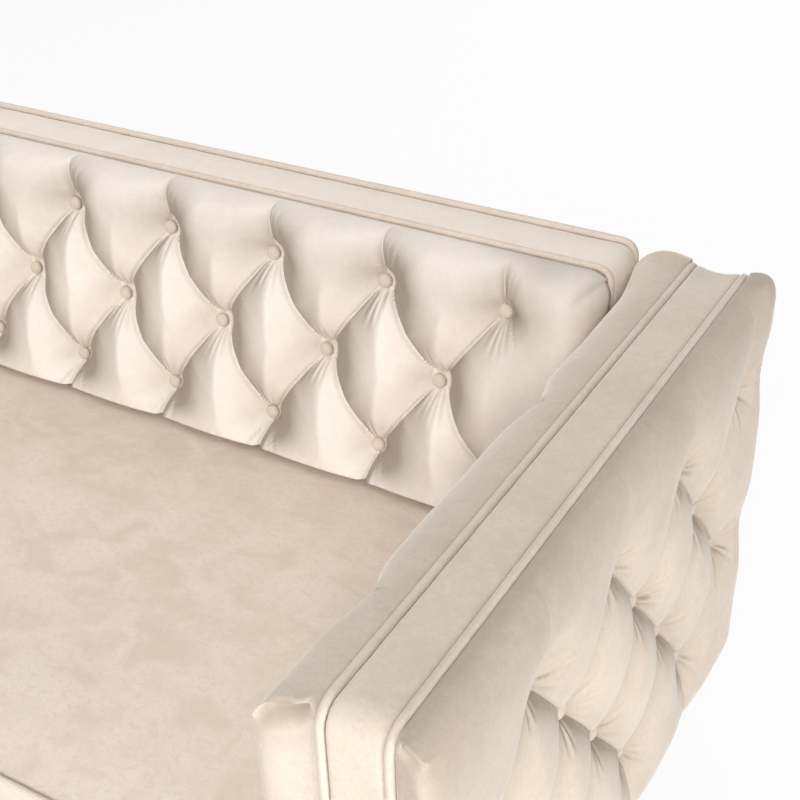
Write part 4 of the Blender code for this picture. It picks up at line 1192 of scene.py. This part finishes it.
# %% Wood
def wood_finish(name, light, dark, rings, roughness, coat):
    """Wood with grain along its length and pores as fine dashes."""
    made, nodes, links, shader, place = new_finish(name)
    grain = noise_layer(nodes, links, place, rings, 6.0, stretch=(1.0, 1.0, 0.08), twist=1.2)
    pores = noise_layer(nodes, links, place, 14.0 * rings, 2.0, stretch=(1.0, 1.0, 0.04))
    tone = blended(nodes, links, ranged(nodes, links, grain, 0.34, 0.66, 0.0, 1.0), dark, light)
    tone = blended(nodes, links, ranged(nodes, links, pores, 0.52, 0.66, 0.0, 0.45), tone, dark)
    links.new(tone, shader.inputs["Base Color"])
    links.new(ranged(nodes, links, grain, 0.3, 0.7, roughness - 0.05, roughness + 0.08), shader.inputs["Roughness"])
    links.new(bumped(nodes, links, pores, 0.15, 0.0004), shader.inputs["Normal"])
    shader.inputs["Coat Weight"].default_value = coat
    return made


walnut = wood_finish("dark walnut", (0.105, 0.058, 0.032, 1.0), (0.038, 0.020, 0.011, 1.0), 46.0, 0.36, 0.25)
softwood = wood_finish("sawn softwood", (0.62, 0.45, 0.27, 1.0), (0.46, 0.31, 0.17, 1.0), 30.0, 0.68, 0.0)
plywood = wood_finish("plywood", (0.68, 0.53, 0.35, 1.0), (0.55, 0.41, 0.26, 1.0), 22.0, 0.66, 0.0)
print("woods:", ", ".join(wood.name for wood in (walnut, softwood, plywood)))

# %% Felt and lining
def cloth_finish(name, light, dark, threads, roughness):
    """Plain woven or pressed cloth with so many threads to the metre."""
    made, nodes, links, shader, place = new_finish(name)
    clouds = noise_layer(nodes, links, place, 12.0, 4.0)
    warp = noise_layer(nodes, links, place, threads, 1.0, stretch=(1.0, 0.1, 1.0))
    weft = noise_layer(nodes, links, place, threads, 1.0, stretch=(0.1, 1.0, 1.0))
    tone = blended(nodes, links, ranged(nodes, links, clouds, 0.35, 0.65, 0.0, 1.0), dark, light)
    tone = blended(nodes, links, ranged(nodes, links, warp, 0.4, 0.7, 0.0, 0.35), tone, dark)
    links.new(tone, shader.inputs["Base Color"])
    woven = bumped(nodes, links, warp, 0.3, 0.0005)
    links.new(bumped(nodes, links, weft, 0.3, 0.0005, woven), shader.inputs["Normal"])
    links.new(ranged(nodes, links, weft, 0.3, 0.7, roughness - 0.05, roughness + 0.05), shader.inputs["Roughness"])
    return made


felt = cloth_finish("grey deck felt", (0.50, 0.47, 0.43, 1.0), (0.38, 0.36, 0.33, 1.0), 420.0, 0.93)
lining = cloth_finish("black lining", (0.030, 0.030, 0.031, 1.0), (0.018, 0.018, 0.019, 1.0), 700.0, 0.88)
deck = bpy.data.objects["deck_cloth"]
deck.data.materials[0] = felt
print("cloths:", ", ".join(cloth.name for cloth in (felt, lining)))

# %% Spring wire, and a finish for each piece of the frame
steel, nodes, links, shader, place = new_finish("drawn spring wire")
shader.inputs["Metallic"].default_value = 1.0
scale_marks = noise_layer(nodes, links, place, 160.0, 4.0)
tone = blended(nodes, links, scale_marks, (0.30, 0.30, 0.31, 1.0), (0.46, 0.45, 0.44, 1.0))
links.new(tone, shader.inputs["Base Color"])
links.new(ranged(nodes, links, scale_marks, 0.3, 0.7, 0.28, 0.46), shader.inputs["Roughness"])
FINISH_OF = {"spring": steel, "board": plywood}
FINISH_OF.update(dict.fromkeys(("rail", "post", "stretcher", "block"), softwood))
for label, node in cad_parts.items():
    for word, finish in FINISH_OF.items():
        if word in label and not node.hide_render:
            node.data.materials.clear()
            node.data.materials.append(finish)
print("hard finishes on the frame")

# %% [markdown]
# ## Legs
# The legs are turned from dark stained wood: a round collar under the frame and a straight
# taper to the foot. They are spun again from a finer profile than the frame's, with eased
# edges and a small glide at the foot, because a lathe leaves no flat sides.

# %% Turned legs
LEGS = ("front_left", "front_right", "rear_left", "rear_right", "centre")
LEG_SIDES = 48
FOOT_RADIUS, FOOT_RISE, COLLAR_FOOT, STUD_RADIUS = 0.0170, 0.0034, 0.0225, 0.0040
for label in LEGS:
    low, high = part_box("leg_" + label)
    centre_x, centre_y = (low.x + high.x) / 2, (low.y + high.y) / 2
    top_radius = (high.x - low.x) / 2
    shoulder = BASE - GAP
    profile = [(0.0140, 0.0), (0.0152, 0.0008), (0.0152, 0.0022), (0.0162, 0.0024), (FOOT_RADIUS, FOOT_RISE)]
    widening, length = top_radius - 0.0032 - FOOT_RADIUS, shoulder - COLLAR_FOOT - FOOT_RISE
    profile += [(FOOT_RADIUS + widening * t, FOOT_RISE + length * t) for t in np.linspace(0.08, 1.0, 12)]
    collar = ((0.0012, 0.0200), (0.0003, 0.0180), (0.0, 0.0150), (0.0, 0.0020), (0.0006, 0.0006), (0.0020, 0.0))
    profile += [(top_radius - inward, shoulder - below) for inward, below in collar]
    profile += [(STUD_RADIUS, shoulder), (STUD_RADIUS, high.z)]
    points = []
    for radius, z in profile:
        for k in range(LEG_SIDES):
            turn = 2 * math.pi * k / LEG_SIDES
            points.append((centre_x + radius * math.cos(turn), centre_y + radius * math.sin(turn), z))
    leg = new_piece("turned_leg_" + label, points, ring_faces(len(profile), LEG_SIDES), walnut, "sofa")
    leg.data.set_sharp_from_angle(angle=math.radians(38))
    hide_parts("leg_" + label)
print("legs turned with", LEG_SIDES, "sides")

# %% [markdown]
# ## Under the sofa
# A black lining is stapled under the frame to keep dust out of the springs. It sags a little
# between the rails, and it is cut round each leg.

# %% Dust lining
LINING_SAG = 0.004
LINING_STEP = 0.0125
lining_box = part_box("dust_cover")
lining_z = (lining_box[0].z + lining_box[1].z) / 2
LEG_CLEARANCE = 0.002
leg_spots = []
for label in LEGS:
    low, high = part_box("leg_" + label)
    leg_spots.append(((low.x + high.x) / 2, (low.y + high.y) / 2, (high.x - low.x) / 2 + LEG_CLEARANCE))
sheet = bmesh.new()
columns = round((lining_box[1].x - lining_box[0].x) / LINING_STEP)
rows_of_sheet = round((lining_box[1].y - lining_box[0].y) / LINING_STEP)
bmesh.ops.create_grid(sheet, x_segments=columns, y_segments=rows_of_sheet, size=1.0)
for vert in sheet.verts:
    a, b = vert.co.x, vert.co.y
    x = a * OUTER_SEAM
    inside = abs(x) < INNER_SEAM
    front, rear = (RAIL_FRONT, RAIL_REAR) if inside else (ARM_FRONT, ARM_REAR)
    y = front + (rear - front) * (b + 1) / 2
    bay = abs(math.sin(2 * math.pi * min(1.0, abs(x) / INNER_SEAM) / 2)) if inside else 0.0
    vert.co = (x, y, lining_z - LINING_SAG * bay * (1 - b * b))
for cx, cy, hole in leg_spots:
    cut = [f for f in sheet.faces if all(math.hypot(v.co.x - cx, v.co.y - cy) < hole + 0.006 for v in f.verts)]
    bmesh.ops.delete(sheet, geom=cut, context="FACES")
    for vert in sheet.verts:
        off = Vector((vert.co.x - cx, vert.co.y - cy))
        if vert.is_boundary and off.length < hole + 0.022:
            off = off.normalized() * hole
            vert.co.x, vert.co.y = cx + off.x, cy + off.y
sheet.verts.index_update()
lining_points = [v.co.copy() for v in sheet.verts]
lining_faces = [[v.index for v in f.verts] for f in sheet.faces]
sheet.free()
dust_lining = new_piece("dust_lining", lining_points, lining_faces, lining, "sofa")
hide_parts("dust_cover")
print("lining", len(lining_points), "points")
